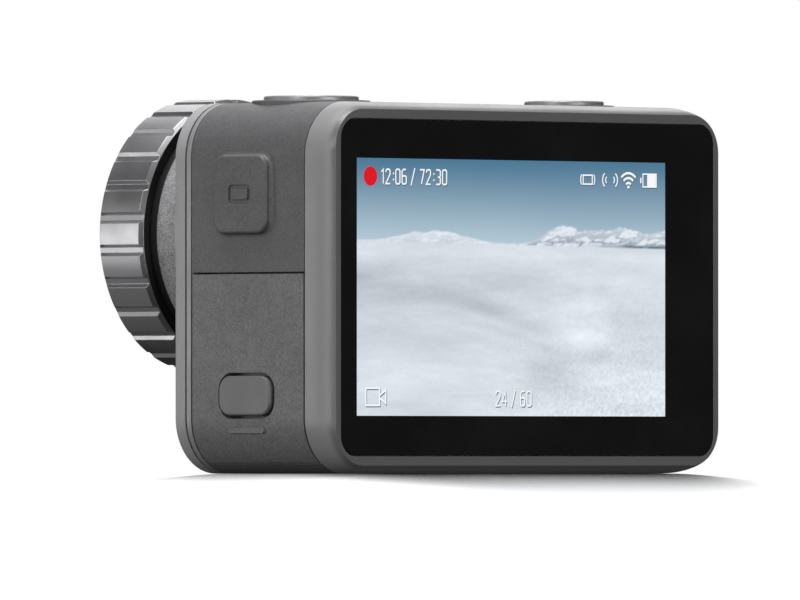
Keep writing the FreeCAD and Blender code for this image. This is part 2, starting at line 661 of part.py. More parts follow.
def screens():
    """Rear and front screens."""
    rear_panel = [side + 2 * SCREEN_BORDER for side in REAR_SCREEN_SIZE]
    rear = screen_stack("rear", REAR, -1, (0, MIDDLE_Z), REAR_GLASS_SIZE, REAR_GLASS_CORNER,
                        REAR_GLASS_THICKNESS, rear_panel, rear_screen_centre())
    front = screen_stack("front", FRONT, 1, FRONT_SCREEN_CENTRE, FRONT_GLASS_SIZE, FRONT_GLASS_CORNER,
                         FRONT_GLASS_THICKNESS, FRONT_SCREEN_SIZE, FRONT_SCREEN_CENTRE)
    light_centre = (FRONT_SCREEN_CENTRE[0], LIGHT_HEIGHT)
    light = cylinder("y", (FRONT, FRAME_BACK), light_centre, LIGHT_RADIUS)
    return {**rear, **front, "status_light": light}


# Lens

def filter_assembly():
    """Faceted ring with a front mouth, and the glass, retainer and seal that it carries."""
    glass_front = RING_FRONT_Y + RING_MOUTH_DEPTH + RUNNING_CLEARANCE
    glass_back = glass_front + FILTER_GLASS_THICKNESS
    retainer_back = glass_back + RETAINER_THICKNESS
    seal_back = retainer_back + FILTER_SEAL_THICKNESS
    retainer_radius = FILTER_GLASS_RADIUS + RETAINER_MARGIN
    bore = retainer_radius + RUNNING_CLEARANCE
    thread = BOSS_RADIUS + THREAD_CLEARANCE
    chamfer = RING_CHAMFER
    rebate_radius = RING_RADIUS - chamfer - RING_REBATE[0]
    rebate_y = RING_BACK_Y - RING_REBATE[1]
    seat = seal_back - FILTER_SEAL_INSET
    ring = about_lens([
        (RING_MOUTH_RADIUS, RING_FRONT_Y),
        (RING_RADIUS - chamfer, RING_FRONT_Y),
        (RING_RADIUS, RING_FRONT_Y + chamfer),
        (RING_RADIUS, RING_BACK_Y - chamfer),
        (RING_RADIUS - chamfer, RING_BACK_Y),
        (rebate_radius, RING_BACK_Y),
        (rebate_radius, rebate_y),
        (thread, rebate_y),
        (thread, seat),
        (bore, seat),
        (bore, glass_front - RUNNING_CLEARANCE),
        (RING_MOUTH_RADIUS, glass_front - RUNNING_CLEARANCE),
    ])
    pitch = 360 / RING_FACETS
    groove_floor = RING_RADIUS - RING_GROOVE_DEPTH
    half = RING_GROOVE_WIDTH / 2
    flare = half + RING_GROOVE_TAPER * RING_GROOVE_DEPTH
    past = OVERCUT / 2
    corners = [(groove_floor, -RING_GROOVE_FLOOR * half), (RING_RADIUS + past, -flare - past)]
    corners += [(radius, -across) for radius, across in reversed(corners)]
    points = [V(LENS_X + radius, RING_FRONT_Y - OVERCUT, LENS_Z + across) for radius, across in corners]
    profile = Part.Face(Part.makePolygon(points + points[:1]))
    groove = profile.extrude(V(0, RING_LENGTH + 2 * OVERCUT, 0))
    grooves = []
    for index in range(RING_FACETS):
        copy = groove.copy()
        copy.rotate(V(LENS_X, 0, LENS_Z), V(0, 1, 0), (index + 0.5) * pitch)
        grooves.append(copy)
    ring = ring.cut(Part.makeCompound(grooves))
    centre = (LENS_X, LENS_Z)
    inner = retainer_radius - RETAINER_WIDTH
    seal_span = (retainer_back, seal_back)
    seal_outer = retainer_radius - FILTER_SEAL_INSET
    seal_inner = inner + FILTER_SEAL_INSET
    return {
        "filter_ring": ring,
        "filter_glass": cylinder("y", (glass_front, glass_back), centre, FILTER_GLASS_RADIUS),
        "filter_retainer": tube("y", (glass_back, retainer_back), centre, retainer_radius, inner),
        "filter_seal": tube("y", seal_span, centre, seal_outer, seal_inner),
    }, seal_back


def boss_front(seal_back):
    """Front end of the lens boss, just clear of the filter's seal."""
    return seal_back + RUNNING_CLEARANCE


def lens_stack(seal_back):
    """Boss, barrel, glass elements, trim ring, sensor and its board."""
    front = boss_front(seal_back)
    centre = (LENS_X, LENS_Z)
    boss_inner = BOSS_RADIUS - BOSS_WALL
    boss = tube("y", (front, FRAME_BACK), centre, BOSS_RADIUS, boss_inner)
    flange_span = (FRAME_BACK, FRAME_BACK + BOSS_FLANGE_THICKNESS)
    flange = tube("y", flange_span, centre, LENS_SIDE - BOSS_FLANGE_INSET, boss_inner)
    flange = flange.common(outline_prism(WALL, flange_span))
    barrel_front = front + BARREL_RECESS
    shoulder = FRONT + BARREL_SHOULDER
    step = BARREL_FRONT_RADIUS - BARREL_LIP
    bore = BARREL_RADIUS - BARREL_WALL
    barrel = about_lens([
        (step, barrel_front),
        (BARREL_FRONT_RADIUS, barrel_front),
        (BARREL_FRONT_RADIUS, shoulder),
        (BARREL_RADIUS, shoulder + BARREL_TAPER),
        (BARREL_RADIUS, BARREL_BACK),
        (bore - BARREL_END_LIP, BARREL_BACK),
        (bore - BARREL_END_LIP, BARREL_BACK - BARREL_END_THICKNESS),
        (bore, BARREL_BACK - BARREL_END_THICKNESS),
        (bore, shoulder),
        (step, shoulder - BARREL_BORE_TAPER),
    ])
    flange_size = (BARREL_FLANGE, BARREL_FLANGE)
    plate_span = (BARREL_BACK - BARREL_PLATE_THICKNESS, BARREL_BACK)
    plate = rounded_prism("y", plate_span, centre, flange_size, BARREL_PLATE_CORNER)
    plate = plate.cut(cylinder("y", plate_span, centre, bore - BARREL_PLATE_HOLE_LIP))
    trim = about_lens([
        (step, barrel_front),
        (step, barrel_front - TRIM_RING_EDGE),
        (boss_inner - RUNNING_CLEARANCE, front + TRIM_RING_INSET),
        (boss_inner - RUNNING_CLEARANCE, barrel_front),
    ])
    board_back = CHASSIS_FRONT
    board_front = board_back - BOARD_THICKNESS
    board = rounded_prism("y", (board_front, board_back), centre, flange_size, BOARD_CORNER)
    sensor_span = (board_front - SENSOR_THICKNESS, board_front)
    screw_reach = BARREL_FLANGE / 2 - SENSOR_SCREW_INSET
    screws = []
    for sign_x, sign_z in ((1, 1), (-1, 1), (-1, -1), (1, -1)):
        spot = (LENS_X + sign_x * screw_reach, LENS_Z + sign_z * screw_reach)
        screw = cylinder("y", (plate_span[0], board_back), spot, SENSOR_SCREW_RADIUS)
        board = board.cut(screw)
        plate = plate.cut(screw)
        screws.append(screw)
    spacer_inner = [side - 2 * SPACER_WALL for side in flange_size]
    spacer = rounded_frame("y", (BARREL_BACK, board_front), centre, flange_size,
                           spacer_inner, BARREL_PLATE_CORNER, SPACER_CORNER)
    for screw in screws:
        spacer = spacer.cut(screw)
    return {
        "lens_boss": boss.fuse(flange).removeSplitter(),
        "lens_barrel": barrel.fuse(plate).fuse(spacer).removeSplitter(),
        "lens_element_front": lens_element(step, barrel_front + FRONT_ELEMENT_INSET, *FRONT_ELEMENT),
        "lens_element_middle": lens_element(bore, FRONT + MIDDLE_ELEMENT_INSET, *MIDDLE_ELEMENT),
        "lens_element_rear": lens_element(bore, BARREL_BACK - REAR_ELEMENT_INSET, *REAR_ELEMENT),
        "lens_trim_ring": trim,
        "sensor_package": rounded_prism("y", sensor_span, centre, SENSOR_SIZE, SENSOR_CORNER),
        "sensor_board": board,
        "sensor_screws": Part.makeCompound(screws),
    }


# Buttons

def stem_end(travel):
    """Lower end of a top button's stem at rest."""
    return switch_top() + SWITCH_GAP + travel


def switch_top():
    """Top face of the two switches under the top wall."""
    return BODY_HEIGHT - WALL - SWITCH_DROP


def top_button(prefix, x, collar, plate, travel):
    """One round top button: collar, pressing plate with its stem, seal and switch."""
    centre = (x, BUTTON_Y)
    floor = BODY_HEIGHT - COUNTERBORE_DEPTH
    collar_span = (floor, BODY_HEIGHT + COLLAR_RISE)
    ring = tube("z", collar_span, centre, collar / 2, plate / 2 + BUTTON_GAP)
    ring = fillet_where(ring, COLLAR_EDGE, lambda bounds: bounds.ZMin > BODY_HEIGHT + COLLAR_RISE - 0.01)
    top = BODY_HEIGHT + PLATE_RISE
    disc = cylinder("z", (top - PLATE_THICKNESS, top), centre, plate / 2)
    disc = fillet_where(disc, SOFT_EDGE, lambda bounds: bounds.ZMin > top - 0.01)
    stem = cylinder("z", (stem_end(travel), top - PLATE_THICKNESS), centre, STEM_RADIUS)
    seal_span = (floor - SEAL_THICKNESS - SEAL_DROP, floor - SEAL_DROP)
    seal_inner = STEM_RADIUS + RUNNING_CLEARANCE
    switch_span = (switch_top() - SWITCH_HEIGHT, switch_top())
    switch = rounded_prism("z", switch_span, centre, (SWITCH_SIZE, SWITCH_SIZE), SWITCH_CORNER)
    return {
        prefix + "_collar": ring,
        prefix + "_button": disc.fuse(stem),
        prefix + "_seal": tube("z", seal_span, centre, STEM_RADIUS + SEAL_WIDTH, seal_inner),
        prefix + "_switch": switch,
    }


def buttons():
    """Record and power buttons with their shared bracket, and the quick switch."""
    nodes = top_button("record", RECORD_X, RECORD_COLLAR, RECORD_PLATE, RECORD_TRAVEL)
    nodes.update(top_button("power", POWER_X, POWER_COLLAR, POWER_PLATE, POWER_TRAVEL))
    switch_floor = switch_top() - SWITCH_HEIGHT
    bracket_x = (POWER_X - SWITCH_SIZE / 2, RECORD_X + SWITCH_SIZE / 2)
    bracket_z = (switch_floor - BRACKET_THICKNESS, switch_floor)
    bracket_y = (BUTTON_Y - SWITCH_SIZE / 2, BUTTON_Y + SWITCH_SIZE / 2)
    bracket = box(bracket_x, bracket_y, bracket_z)
    tie_y = (BUTTON_Y, CHASSIS_FRONT)
    nodes["switch_bracket"] = bracket.fuse(box(BRACKET_TIE, tie_y, bracket_z)).removeSplitter()

    outer = HALF_WIDTH + QUICK_RISE
    inner = outer - QUICK_THICKNESS
    centre = (BUTTON_Y, QUICK_Z)
    plate = rounded_prism("x", (inner, outer), centre, QUICK_SIZE, QUICK_CORNER)
    plate = fillet_where(plate, QUICK_EDGE, lambda bounds: bounds.XMin > outer - 0.01)
    icon_span = (outer - ICON_DEPTH, outer + OVERCUT)
    icon = rounded_prism("x", icon_span, centre, ICON_SIZE, ICON_CORNER)
    core = [side - 2 * ICON_LINE for side in ICON_SIZE]
    icon = icon.cut(rounded_prism("x", icon_span, centre, core, ICON_CORNER / 2))
    switch_outer = HALF_WIDTH - WALL - QUICK_SWITCH_DROP
    stem = cylinder("x", (switch_outer + SWITCH_GAP + QUICK_TRAVEL, inner), centre, QUICK_STEM_RADIUS)
    nodes["quick_switch_button"] = plate.cut(icon).fuse(stem)
    floor = inner - QUICK_TRAVEL - STOP_GAP
    seal_span = (HALF_WIDTH - WALL, floor)
    nodes["quick_switch_seal"] = tube("x", seal_span, centre, QUICK_STEM_RADIUS + SEAL_WIDTH,
                                      QUICK_STEM_RADIUS + RUNNING_CLEARANCE)
    dome_size = (SWITCH_SIZE, SWITCH_SIZE)
    dome_span = (switch_outer - SWITCH_HEIGHT, switch_outer)
    nodes["quick_switch_dome"] = rounded_prism("x", dome_span, centre, dome_size, SWITCH_CORNER)
    return nodes


# Port cover and ports

def latch_seat():
    """Outer face of the port latch's flange."""
    return COVER_FACE - LATCH_SEAT


def port_cover_assembly():
    """Cover that hinges on a pin near its top edge, its gasket and its release latch."""
    span = (HOUSING_FRONT + COVER_END_GAP, HOUSING_BACK - COVER_END_GAP)
    keep = cover_keep(COVER_TOP, COVER_END_ANGLE, span)
    cover = outline_tube(0, COVER_WALL, span).common(keep)
    knuckle = cylinder("y", span, (PIN_X, PIN_Z), hinge_reach())
    inner_top = box((PIN_X - OUTSIDE, PIN_X), span, (PIN_Z, COVER_TOP + OVERCUT))
    cover = cover.cut(inner_top.cut(knuckle))
    barrel = cylinder("y", span, (PIN_X, PIN_Z), PIN_RADIUS + PIN_BARREL_WALL)
    cover = cover.fuse(barrel.common(box((PIN_X - OUTSIDE, HALF_WIDTH), span, (0, COVER_TOP))))
    cover = cover.cut(cylinder("y", span, (PIN_X, PIN_Z), PIN_RADIUS + PIN_CLEARANCE))
    latch_hole = [side + 2 * LATCH_GAP for side in LATCH_SIZE]
    hole_x = (COVER_FACE - OUTSIDE, HALF_WIDTH + OVERCUT)
    centre = (PORT_Y, LATCH_Z)
    hole = rounded_prism("x", hole_x, centre, latch_hole, LATCH_CORNER + LATCH_GAP)
    mark_centre = (PORT_Y, MARK_Z)
    mark_x = (HALF_WIDTH - COVER_WALL / 2, HALF_WIDTH + MARK_RISE)
    mark = rounded_prism("x", mark_x, mark_centre, MARK_SIZE, end_radius(MARK_SIZE[1]))
    cover = cover.cut(hole).fuse(mark).removeSplitter()

    gasket_z = (USB_Z + CARD_SLOT_Z + CARD_SIZE[2]) / 2
    inner = [side - 2 * COVER_GASKET_WIDTH for side in COVER_GASKET_SIZE]
    gasket_span = (COVER_FACE - COVER_GASKET_THICKNESS, COVER_FACE)
    gasket = rounded_frame("x", gasket_span, (PORT_Y, gasket_z), COVER_GASKET_SIZE, inner,
                           COVER_GASKET_CORNER, COVER_GASKET_CORNER - COVER_GASKET_WIDTH)
    face_span = (latch_seat(), HALF_WIDTH + LATCH_RISE)
    face = rounded_prism("x", face_span, centre, LATCH_SIZE, LATCH_CORNER)
    face = fillet_where(face, SOFT_EDGE, lambda bounds: bounds.XMin > face_span[1] - 0.01)
    flange_size = [side + 2 * LATCH_LIP for side in LATCH_SIZE]
    flange_span = (latch_seat() - LATCH_FLANGE, latch_seat())
    flange = rounded_prism("x", flange_span, centre, flange_size, LATCH_CORNER)
    pin_span = (BAND_BACK - PIN_HOLE_DEPTH, BEZEL_FRONT + PIN_HOLE_DEPTH)
    return {
        "port_cover": cover,
        "port_cover_gasket": gasket,
        "port_latch": face.fuse(flange).removeSplitter(),
        "port_hinge_pin": cylinder("y", pin_span, (PIN_X, PIN_Z), PIN_RADIUS),
    }


def ports():
    """Small board with the data socket below it and the card slot above it."""
    mouth = PORT_WALL_FACE - USB_INSET
    end = mouth - USB_LENGTH
    centre = (PORT_Y, USB_Z)
    opening = [side - 2 * USB_WALL for side in USB_SIZE]
    shell = rounded_prism("x", (end, mouth), centre, USB_SIZE, end_radius(USB_SIZE[1]))
    shell = shell.cut(rounded_prism("x", (end + USB_BACK, mouth), centre, opening, end_radius(opening[1])))
    tongue_span = (end + USB_BACK / 2, mouth - USB_TONGUE_INSET)
    tongue = rounded_prism("x", tongue_span, centre, USB_TONGUE, USB_TONGUE_CORNER)

    slot_end = PORT_WALL_BACK
    card_end = slot_end + CARD_PROUD
    cavity_back = card_end - CARD_SIZE[0] - CARD_TRAVEL - CARD_BACK_GAP
    slot_back = cavity_back - SLOT_BACK
    slot_size = [CARD_SIZE[1] + 2 * CARD_CLEARANCE, CARD_SIZE[2] + 2 * CARD_CLEARANCE]
    outer = [side + 2 * SLOT_WALL for side in slot_size]
    card_z = CARD_SLOT_Z + outer[1] / 2
    slot = rounded_prism("x", (slot_back, slot_end), (PORT_Y, card_z), outer, SLOT_CORNER)
    cavity = rounded_prism("x", (cavity_back, slot_end), (PORT_Y, card_z), slot_size, SLOT_CAVITY_CORNER)
    slot = slot.cut(cavity)
    card_span = (card_end - CARD_SIZE[0], card_end)
    card = rounded_prism("x", card_span, (PORT_Y, card_z), CARD_SIZE[1:], CARD_CORNER)

    board_x = (slot_back, slot_end - RUNNING_CLEARANCE)
    board_y = (PORT_Y - outer[0] / 2, CHASSIS_FRONT)
    board = box(board_x, board_y, (PORT_BOARD_Z, CARD_SLOT_Z))
    return {
        "usb_socket": shell.fuse(tongue),
        "card_slot": slot,
        "memory_card": card,
        "port_board": board,
    }


# Battery

def battery_assembly():
    """Battery with its own base cap, seal, two release latches, contacts and the bay."""
    centre = (BATTERY_X, BATTERY_Y)
    footprint = BATTERY_SIZE[:2]
    cap_size = [side + 2 * CAP_MARGIN for side in footprint]
    block_top = CAP_THICKNESS + CAP_BLOCK
    cap_corner = BATTERY_CORNER + CAP_MARGIN - CAP_GAP
    plate = rounded_prism("z", (0, CAP_THICKNESS), centre, cap_size, cap_corner)
    block = rounded_prism("z", (CAP_THICKNESS, block_top), centre, footprint, BATTERY_CORNER)
    whole_depth = (FRONT, REAR)
    cap = plate.common(outline_prism(0, whole_depth)).fuse(block)
    seal_foot = CAP_THICKNESS + BATTERY_SEAL_LIFT
    seal_span = (seal_foot, seal_foot + BATTERY_SEAL_SIZE)
    seal_outer = [side + 2 * (BAY_CLEARANCE - RUNNING_CLEARANCE) for side in footprint]
    seal_inner = [side - 2 * BATTERY_SEAL_BITE for side in footprint]
    seal = rounded_frame("z", seal_span, centre, seal_outer, seal_inner,
                         BATTERY_CORNER, BATTERY_CORNER - BATTERY_SEAL_BITE)
    cap = cap.cut(seal)

    nodes = {}
    pad_length, pad_width = BATTERY_LATCH_SIZE
    pad_top = LATCH_PAD_RECESS + LATCH_PAD_HEIGHT
    for name, side in (("battery_latch_left", -1), ("battery_latch_right", 1)):
        outer_x = BATTERY_X + side * (footprint[0] / 2 - BATTERY_LATCH_EDGE)
        inner_x = outer_x - side * pad_length
        pad_middle = ((outer_x + inner_x) / 2, BATTERY_Y)
        pad_span = (LATCH_PAD_RECESS, pad_top)
        pad = rounded_prism("z", pad_span, pad_middle, BATTERY_LATCH_SIZE, BATTERY_LATCH_CORNER)
        for ridge in range(RIDGE_COUNT):
            ridge_x = pad_middle[0] + (ridge - (RIDGE_COUNT - 1) / 2) * RIDGE_PITCH
            ridge_size = (RIDGE_SIZE[0], pad_width - 2 * RIDGE_MARGIN, RIDGE_SIZE[1])
            pad = pad.cut(centred_box((ridge_x, BATTERY_Y, LATCH_PAD_RECESS), ridge_size))
        tongue_size = (pad_length + 2 * LATCH_TONGUE_SHIFT, pad_width - 2 * LATCH_TONGUE_MARGIN)
        tongue_middle = (pad_middle[0] + side * LATCH_TONGUE_SHIFT, BATTERY_Y)
        tongue_span = (pad_top, pad_top + LATCH_TONGUE_HEIGHT)
        tongue = rounded_prism("z", tongue_span, tongue_middle, tongue_size, LATCH_TONGUE_CORNER)
        nodes[name] = pad.fuse(tongue).removeSplitter()
        travel = BATTERY_LATCH_TRAVEL
        room = 2 * RUNNING_CLEARANCE
        pocket_centre = (pad_middle[0] - side * travel / 2, BATTERY_Y)
        pocket_size = (pad_length + travel + 2 * room, pad_width + 2 * room)
        pocket_span = (-OVERCUT, pad_top + RUNNING_CLEARANCE)
        pocket = rounded_prism("z", pocket_span, pocket_centre, pocket_size, BATTERY_LATCH_CORNER)
        slot_centre = (tongue_middle[0] - side * travel / 2, BATTERY_Y)
        slot_size = (tongue_size[0] + travel + 2 * room, tongue_size[1] + 2 * room)
        slot_span = (0, tongue_span[1] + RUNNING_CLEARANCE)
        slot = rounded_prism("z", slot_span, slot_centre, slot_size, LATCH_TONGUE_CORNER)
        cap = cap.cut(pocket).cut(slot)
    nodes["battery_cap"] = cap.removeSplitter()
    nodes["battery_seal"] = seal

    pack_top = block_top + BATTERY_SIZE[2]
    pack = rounded_prism("z", (block_top, pack_top), centre, footprint, BATTERY_CORNER)
    bay_inner = [side + 2 * BAY_CLEARANCE for side in footprint]
    bay_outer = [side + 2 * BAY_WALL for side in bay_inner]
    bay_span = (CAP_THICKNESS + CAP_GAP, BAY_TOP + BAY_WALL)
    bay = rounded_prism("z", bay_span, centre, bay_outer, BATTERY_CORNER + BAY_CORNER_GROWTH)
    bay = bay.cut(rounded_prism("z", (0, BAY_TOP), centre, bay_inner, BATTERY_CORNER))
    above_corners = box((-HALF_WIDTH, HALF_WIDTH), whole_depth, (CORNER_RADIUS, BODY_HEIGHT))
    bay = bay.common(outline_prism(WALL, whole_depth).fuse(above_corners))
    pads = []
    pins = []
    for index in range(CONTACT_COUNT):
        x = BATTERY_X + (index - (CONTACT_COUNT - 1) / 2) * CONTACT_PITCH
        pad_centre = (x, BATTERY_Y, pack_top + CONTACT_SIZE[2] / 2)
        pads.append(centred_box(pad_centre, CONTACT_SIZE))
        pin_low = pack_top + CONTACT_SIZE[2] + CONTACT_PIN_GAP
        pins.append(cylinder("z", (pin_low, BAY_TOP + BAY_WALL), (x, BATTERY_Y), CONTACT_PIN_RADIUS))
    for pin in pins:
        bay = bay.cut(pin)
    nodes["battery_pack"] = pack
    nodes["battery_contacts"] = Part.makeCompound(pads)
    nodes["battery_bay"] = bay.removeSplitter()
    nodes["bay_contacts"] = Part.makeCompound(pins)
    return nodes


# Inner plate and boards

def inside():
    """Inner plate, its screws, main board, processor under its shield, speaker and microphones."""
    inset = CHASSIS_INSET
    plate = outline_prism(inset, (CHASSIS_FRONT, CHASSIS_BACK))
    screws = []
    for x, z in screw_places():
        shank = cylinder("y", (CHASSIS_FRONT - SCREW_LENGTH, CHASSIS_BACK), (x, z), SCREW_RADIUS)
        head_span = (CHASSIS_BACK, CHASSIS_BACK + SCREW_HEAD_HEIGHT)
        head = cylinder("y", head_span, (x, z), SCREW_HEAD_RADIUS)
        length, width, depth = SCREW_CROSS
        cross = centred_box((x, head_span[1], z), (length, 2 * depth, width))
        cross = cross.fuse(centred_box((x, head_span[1], z), (width, 2 * depth, length)))
        plate = plate.cut(shank)
        screws.append(shank.fuse(head).cut(cross).removeSplitter())
    board_front = CHASSIS_BACK + MAIN_BOARD_GAP
    board_back = board_front + BOARD_THICKNESS
    board = outline_prism(inset + MAIN_BOARD_MARGIN, (board_front, board_back))
    for x, z in screw_places():
        clear_radius = SCREW_HEAD_RADIUS + SCREW_HEAD_GAP
        board = board.cut(cylinder("y", (board_front, board_back), (x, z), clear_radius))
        standoff_x = x - math.copysign(STANDOFF_SHIFT, x)
        standoff = cylinder("y", (CHASSIS_BACK, board_front), (standoff_x, z), STANDOFF_RADIUS)
        plate = plate.fuse(standoff)
    chip_back = board_back + PROCESSOR_SIZE[2]
    chip_span = (board_back, chip_back)
    chip = rounded_prism("y", chip_span, PROCESSOR_CENTRE, PROCESSOR_SIZE[:2], PROCESSOR_CORNER)
    shield_size = [side + 2 * SHIELD_MARGIN for side in PROCESSOR_SIZE[:2]]
    shield_back = chip_back + SHIELD_WALL
    shield = rounded_prism("y", (board_back, shield_back), PROCESSOR_CENTRE, shield_size, SHIELD_CORNER)
    room = [side - 2 * SHIELD_WALL for side in shield_size]
    room_corner = SHIELD_CORNER - SHIELD_WALL
    shield = shield.cut(rounded_prism("y", chip_span, PROCESSOR_CENTRE, room, room_corner))

    wall_face = -HALF_WIDTH + WALL
    speaker_centre = (wall_face + SPEAKER_SIZE[0] / 2, BATTERY_Y, SPEAKER_Z)
    speaker = centred_box(speaker_centre, SPEAKER_SIZE)
    microphones = []
    for x in MICROPHONE_XS:
        top = BODY_HEIGHT - WALL
        centre = (x, BUTTON_Y, top - MICROPHONE_SIZE[2] / 2)
        port = cylinder("z", (top - MICROPHONE_PORT_DEPTH, top), (x, BUTTON_Y), MICROPHONE_HOLE)
        microphones.append(centred_box(centre, MICROPHONE_SIZE).cut(port))
    return {
        "chassis": plate.removeSplitter(),
        "chassis_screws": Part.makeCompound(screws),
        "main_board": board,
        "processor": chip,
        "shield_can": shield,
        "speaker": speaker,
        "microphones": Part.makeCompound(microphones),
    }


def build():
    """Every node by name."""
    filter_nodes, seal_back = filter_assembly()
    nodes = {
        "front_frame": front_frame(),
        "front_seal": front_seal(),
        "trim_band": trim_band(),
        "mid_housing": mid_housing(),
        "rear_bezel": rear_bezel(),
    }
    nodes.update(screens())
    nodes.update(filter_nodes)
    nodes.update(lens_stack(seal_back))
    nodes.update(buttons())
    nodes.update(port_cover_assembly())
    nodes.update(ports())
    nodes.update(battery_assembly())
    nodes.update(inside())
    return nodes


os.makedirs("parts", exist_ok=True)
for node, shape in build().items():
    assert shape.isValid() and shape.Volume > 0, node
    print(f"{node:24s} solids {len(shape.Solids):2d}  volume {shape.Volume:9.2f}")
    shape.exportStep(f"parts/{node}.step")
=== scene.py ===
"""Finishes for a compact action camera: plastics, metals, glass, both screens and a studio.

Laid out as an add-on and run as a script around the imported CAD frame.
All sizes are in metres, in the CAD frame: +X towards the lens side, -Y out of the lens, +Z up.
"""
import math

import bpy
import numpy as np
from bpy.props import FloatProperty, FloatVectorProperty, PointerProperty, StringProperty
from bpy.types import Operator, Panel, PropertyGroup
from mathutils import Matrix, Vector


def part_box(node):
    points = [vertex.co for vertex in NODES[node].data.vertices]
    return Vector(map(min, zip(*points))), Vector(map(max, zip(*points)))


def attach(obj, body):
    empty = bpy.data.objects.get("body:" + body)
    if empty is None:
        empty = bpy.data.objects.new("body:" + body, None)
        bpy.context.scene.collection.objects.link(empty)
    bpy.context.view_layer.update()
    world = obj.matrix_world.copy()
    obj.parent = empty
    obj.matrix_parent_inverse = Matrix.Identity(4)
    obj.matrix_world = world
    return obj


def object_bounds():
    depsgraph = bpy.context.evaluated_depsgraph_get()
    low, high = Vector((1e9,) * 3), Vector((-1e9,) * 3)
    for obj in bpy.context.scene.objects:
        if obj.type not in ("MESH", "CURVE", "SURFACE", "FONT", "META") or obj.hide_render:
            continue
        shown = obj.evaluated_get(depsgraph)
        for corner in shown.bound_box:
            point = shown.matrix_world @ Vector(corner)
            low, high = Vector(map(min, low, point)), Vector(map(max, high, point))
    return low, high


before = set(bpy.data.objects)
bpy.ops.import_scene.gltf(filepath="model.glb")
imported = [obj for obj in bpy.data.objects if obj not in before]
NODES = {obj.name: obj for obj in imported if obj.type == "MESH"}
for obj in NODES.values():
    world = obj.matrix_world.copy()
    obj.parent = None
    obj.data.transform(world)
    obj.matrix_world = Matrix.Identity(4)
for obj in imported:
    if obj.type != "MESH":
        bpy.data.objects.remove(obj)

bl_info = {
    "name": "Action Camera Finish",
    "version": (1, 0, 0),
    "blender": (4, 5, 0),
    "location": "View3D > Sidebar > Action Camera",
    "description": "Finishes, screens, lens details and a studio for an action camera",
    "category": "Object",
}

MM = 0.001
CAD_LOW, CAD_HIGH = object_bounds()

MIX_SHARE, MIX_FIRST, MIX_SECOND = 0, 6, 7     # input sockets of a Mix node in its colour mode
MIX_RESULT = 2                                 # its colour output
BEVEL_SAMPLES = 4
PLASTIC_ROUNDING = 0.12 * MM                   # shading radius on the edges of plastic
METAL_ROUNDING = 0.1 * MM
LINE_PITCH = 0.08 * MM                         # cutting lines on turned metal
LINE_DEPTH = 0.004 * MM
# Painted shade: near-black colour put where a recess or the gap behind the filter ring lies in shadow
PAINTED_RECESS_SHADE = (0.006, 0.006, 0.0065)
NO_COLOUR = (0.0, 0.0, 0.0, 1.0)

PICTURE_DEPTH, SHADOW_DEPTH, OVERLAY_DEPTH = 0.12, 0.09, 0.06     # under the glass face, millimetres
TOP_ROW = 2.02                                 # middle of the overlay's top row, millimetres down
DOT_ACROSS, DOT_RADIUS = 2.24, 1.08
LATTICE = 64                                   # points along each side of a noise lattice

CAMERA_TARGET = (0.00998, 0.00162, 0.0194)


# Settings

def colour_setting(name, description, default):
    """A colour property with the usual limits."""
    return FloatVectorProperty(name=name, description=description, default=default,
                               subtype="COLOR", size=3, min=0.0, max=1.0)


def length_setting(name, description, default):
    """A length property, in metres."""
    return FloatProperty(name=name, description=description, default=default,
                         subtype="DISTANCE", unit="LENGTH", precision=5)


class FinishSettings(PropertyGroup):
    """Colours of the camera's plastics, metals and glass, and two fine sizes."""
    panel_colour: colour_setting("Side panel", "Textured plastic of the side walls", (0.080, 0.080, 0.083))
    cover_colour: colour_setting("Port cover", "Plastic of the hinged cover", (0.121, 0.121, 0.124))
    bezel_colour: colour_setting("Rear bezel", "Smooth plastic around the rear glass", (0.212, 0.212, 0.216))
    frame_colour: colour_setting("Front frame", "Fine plastic of the front plate", (0.265, 0.265, 0.27))
    boss_colour: colour_setting("Lens boss", "Coarser plastic of the lens boss", (0.245, 0.245, 0.25))
    trim_colour: colour_setting("Trim band", "Satin band behind the front frame", (0.24, 0.24, 0.245))
    ring_colour: colour_setting("Filter ring", "Anodised metal of the faceted ring", (0.36, 0.36, 0.368))
    button_colour: colour_setting("Top buttons", "Plates of the round buttons", (0.24, 0.24, 0.245))
    glass_colour: colour_setting("Screen glass", "Black printed border of both screens",
                                 (0.0080, 0.0080, 0.0086))
    rubber_colour: colour_setting("Seals", "Rubber of seals and gaskets", (0.012, 0.012, 0.013))
    # Inside this edge the ring's recess is painted shade, matt black
    ring_edge: length_setting("Ring edge", "Bright metal left outside the ring's black recess", 0.00046)
    grain_size: length_setting("Grain size", "Size of the moulded plastic grain", 0.00024)


class ScreenSettings(PropertyGroup):
    """What the rear screen shows."""
    timer: StringProperty(name="Timer", description="Digits beside the recording dot",
                          default="12:06 / 72:30")
    rate: StringProperty(name="Rate", description="Digits at the foot of the screen", default="24 / 60")
    sky_colour: colour_setting("Sky", "Sky at the top of the picture", (0.075, 0.190, 0.300))
    haze_colour: colour_setting("Haze", "Sky just above the mountains", (0.450, 0.580, 0.670))
    snow_colour: colour_setting("Snow", "Lit snow", (0.680, 0.730, 0.790))
    record_colour: colour_setting("Recording dot", "Dot beside the timer", (0.72, 0.0, 0.012))
    width: length_setting("Width", "Width of the lit area", 0.0502)
    height: length_setting("Height", "Height of the lit area", 0.02855)
    offset: length_setting("Offset", "How far the lit area's middle lies towards +X", 0.00275)


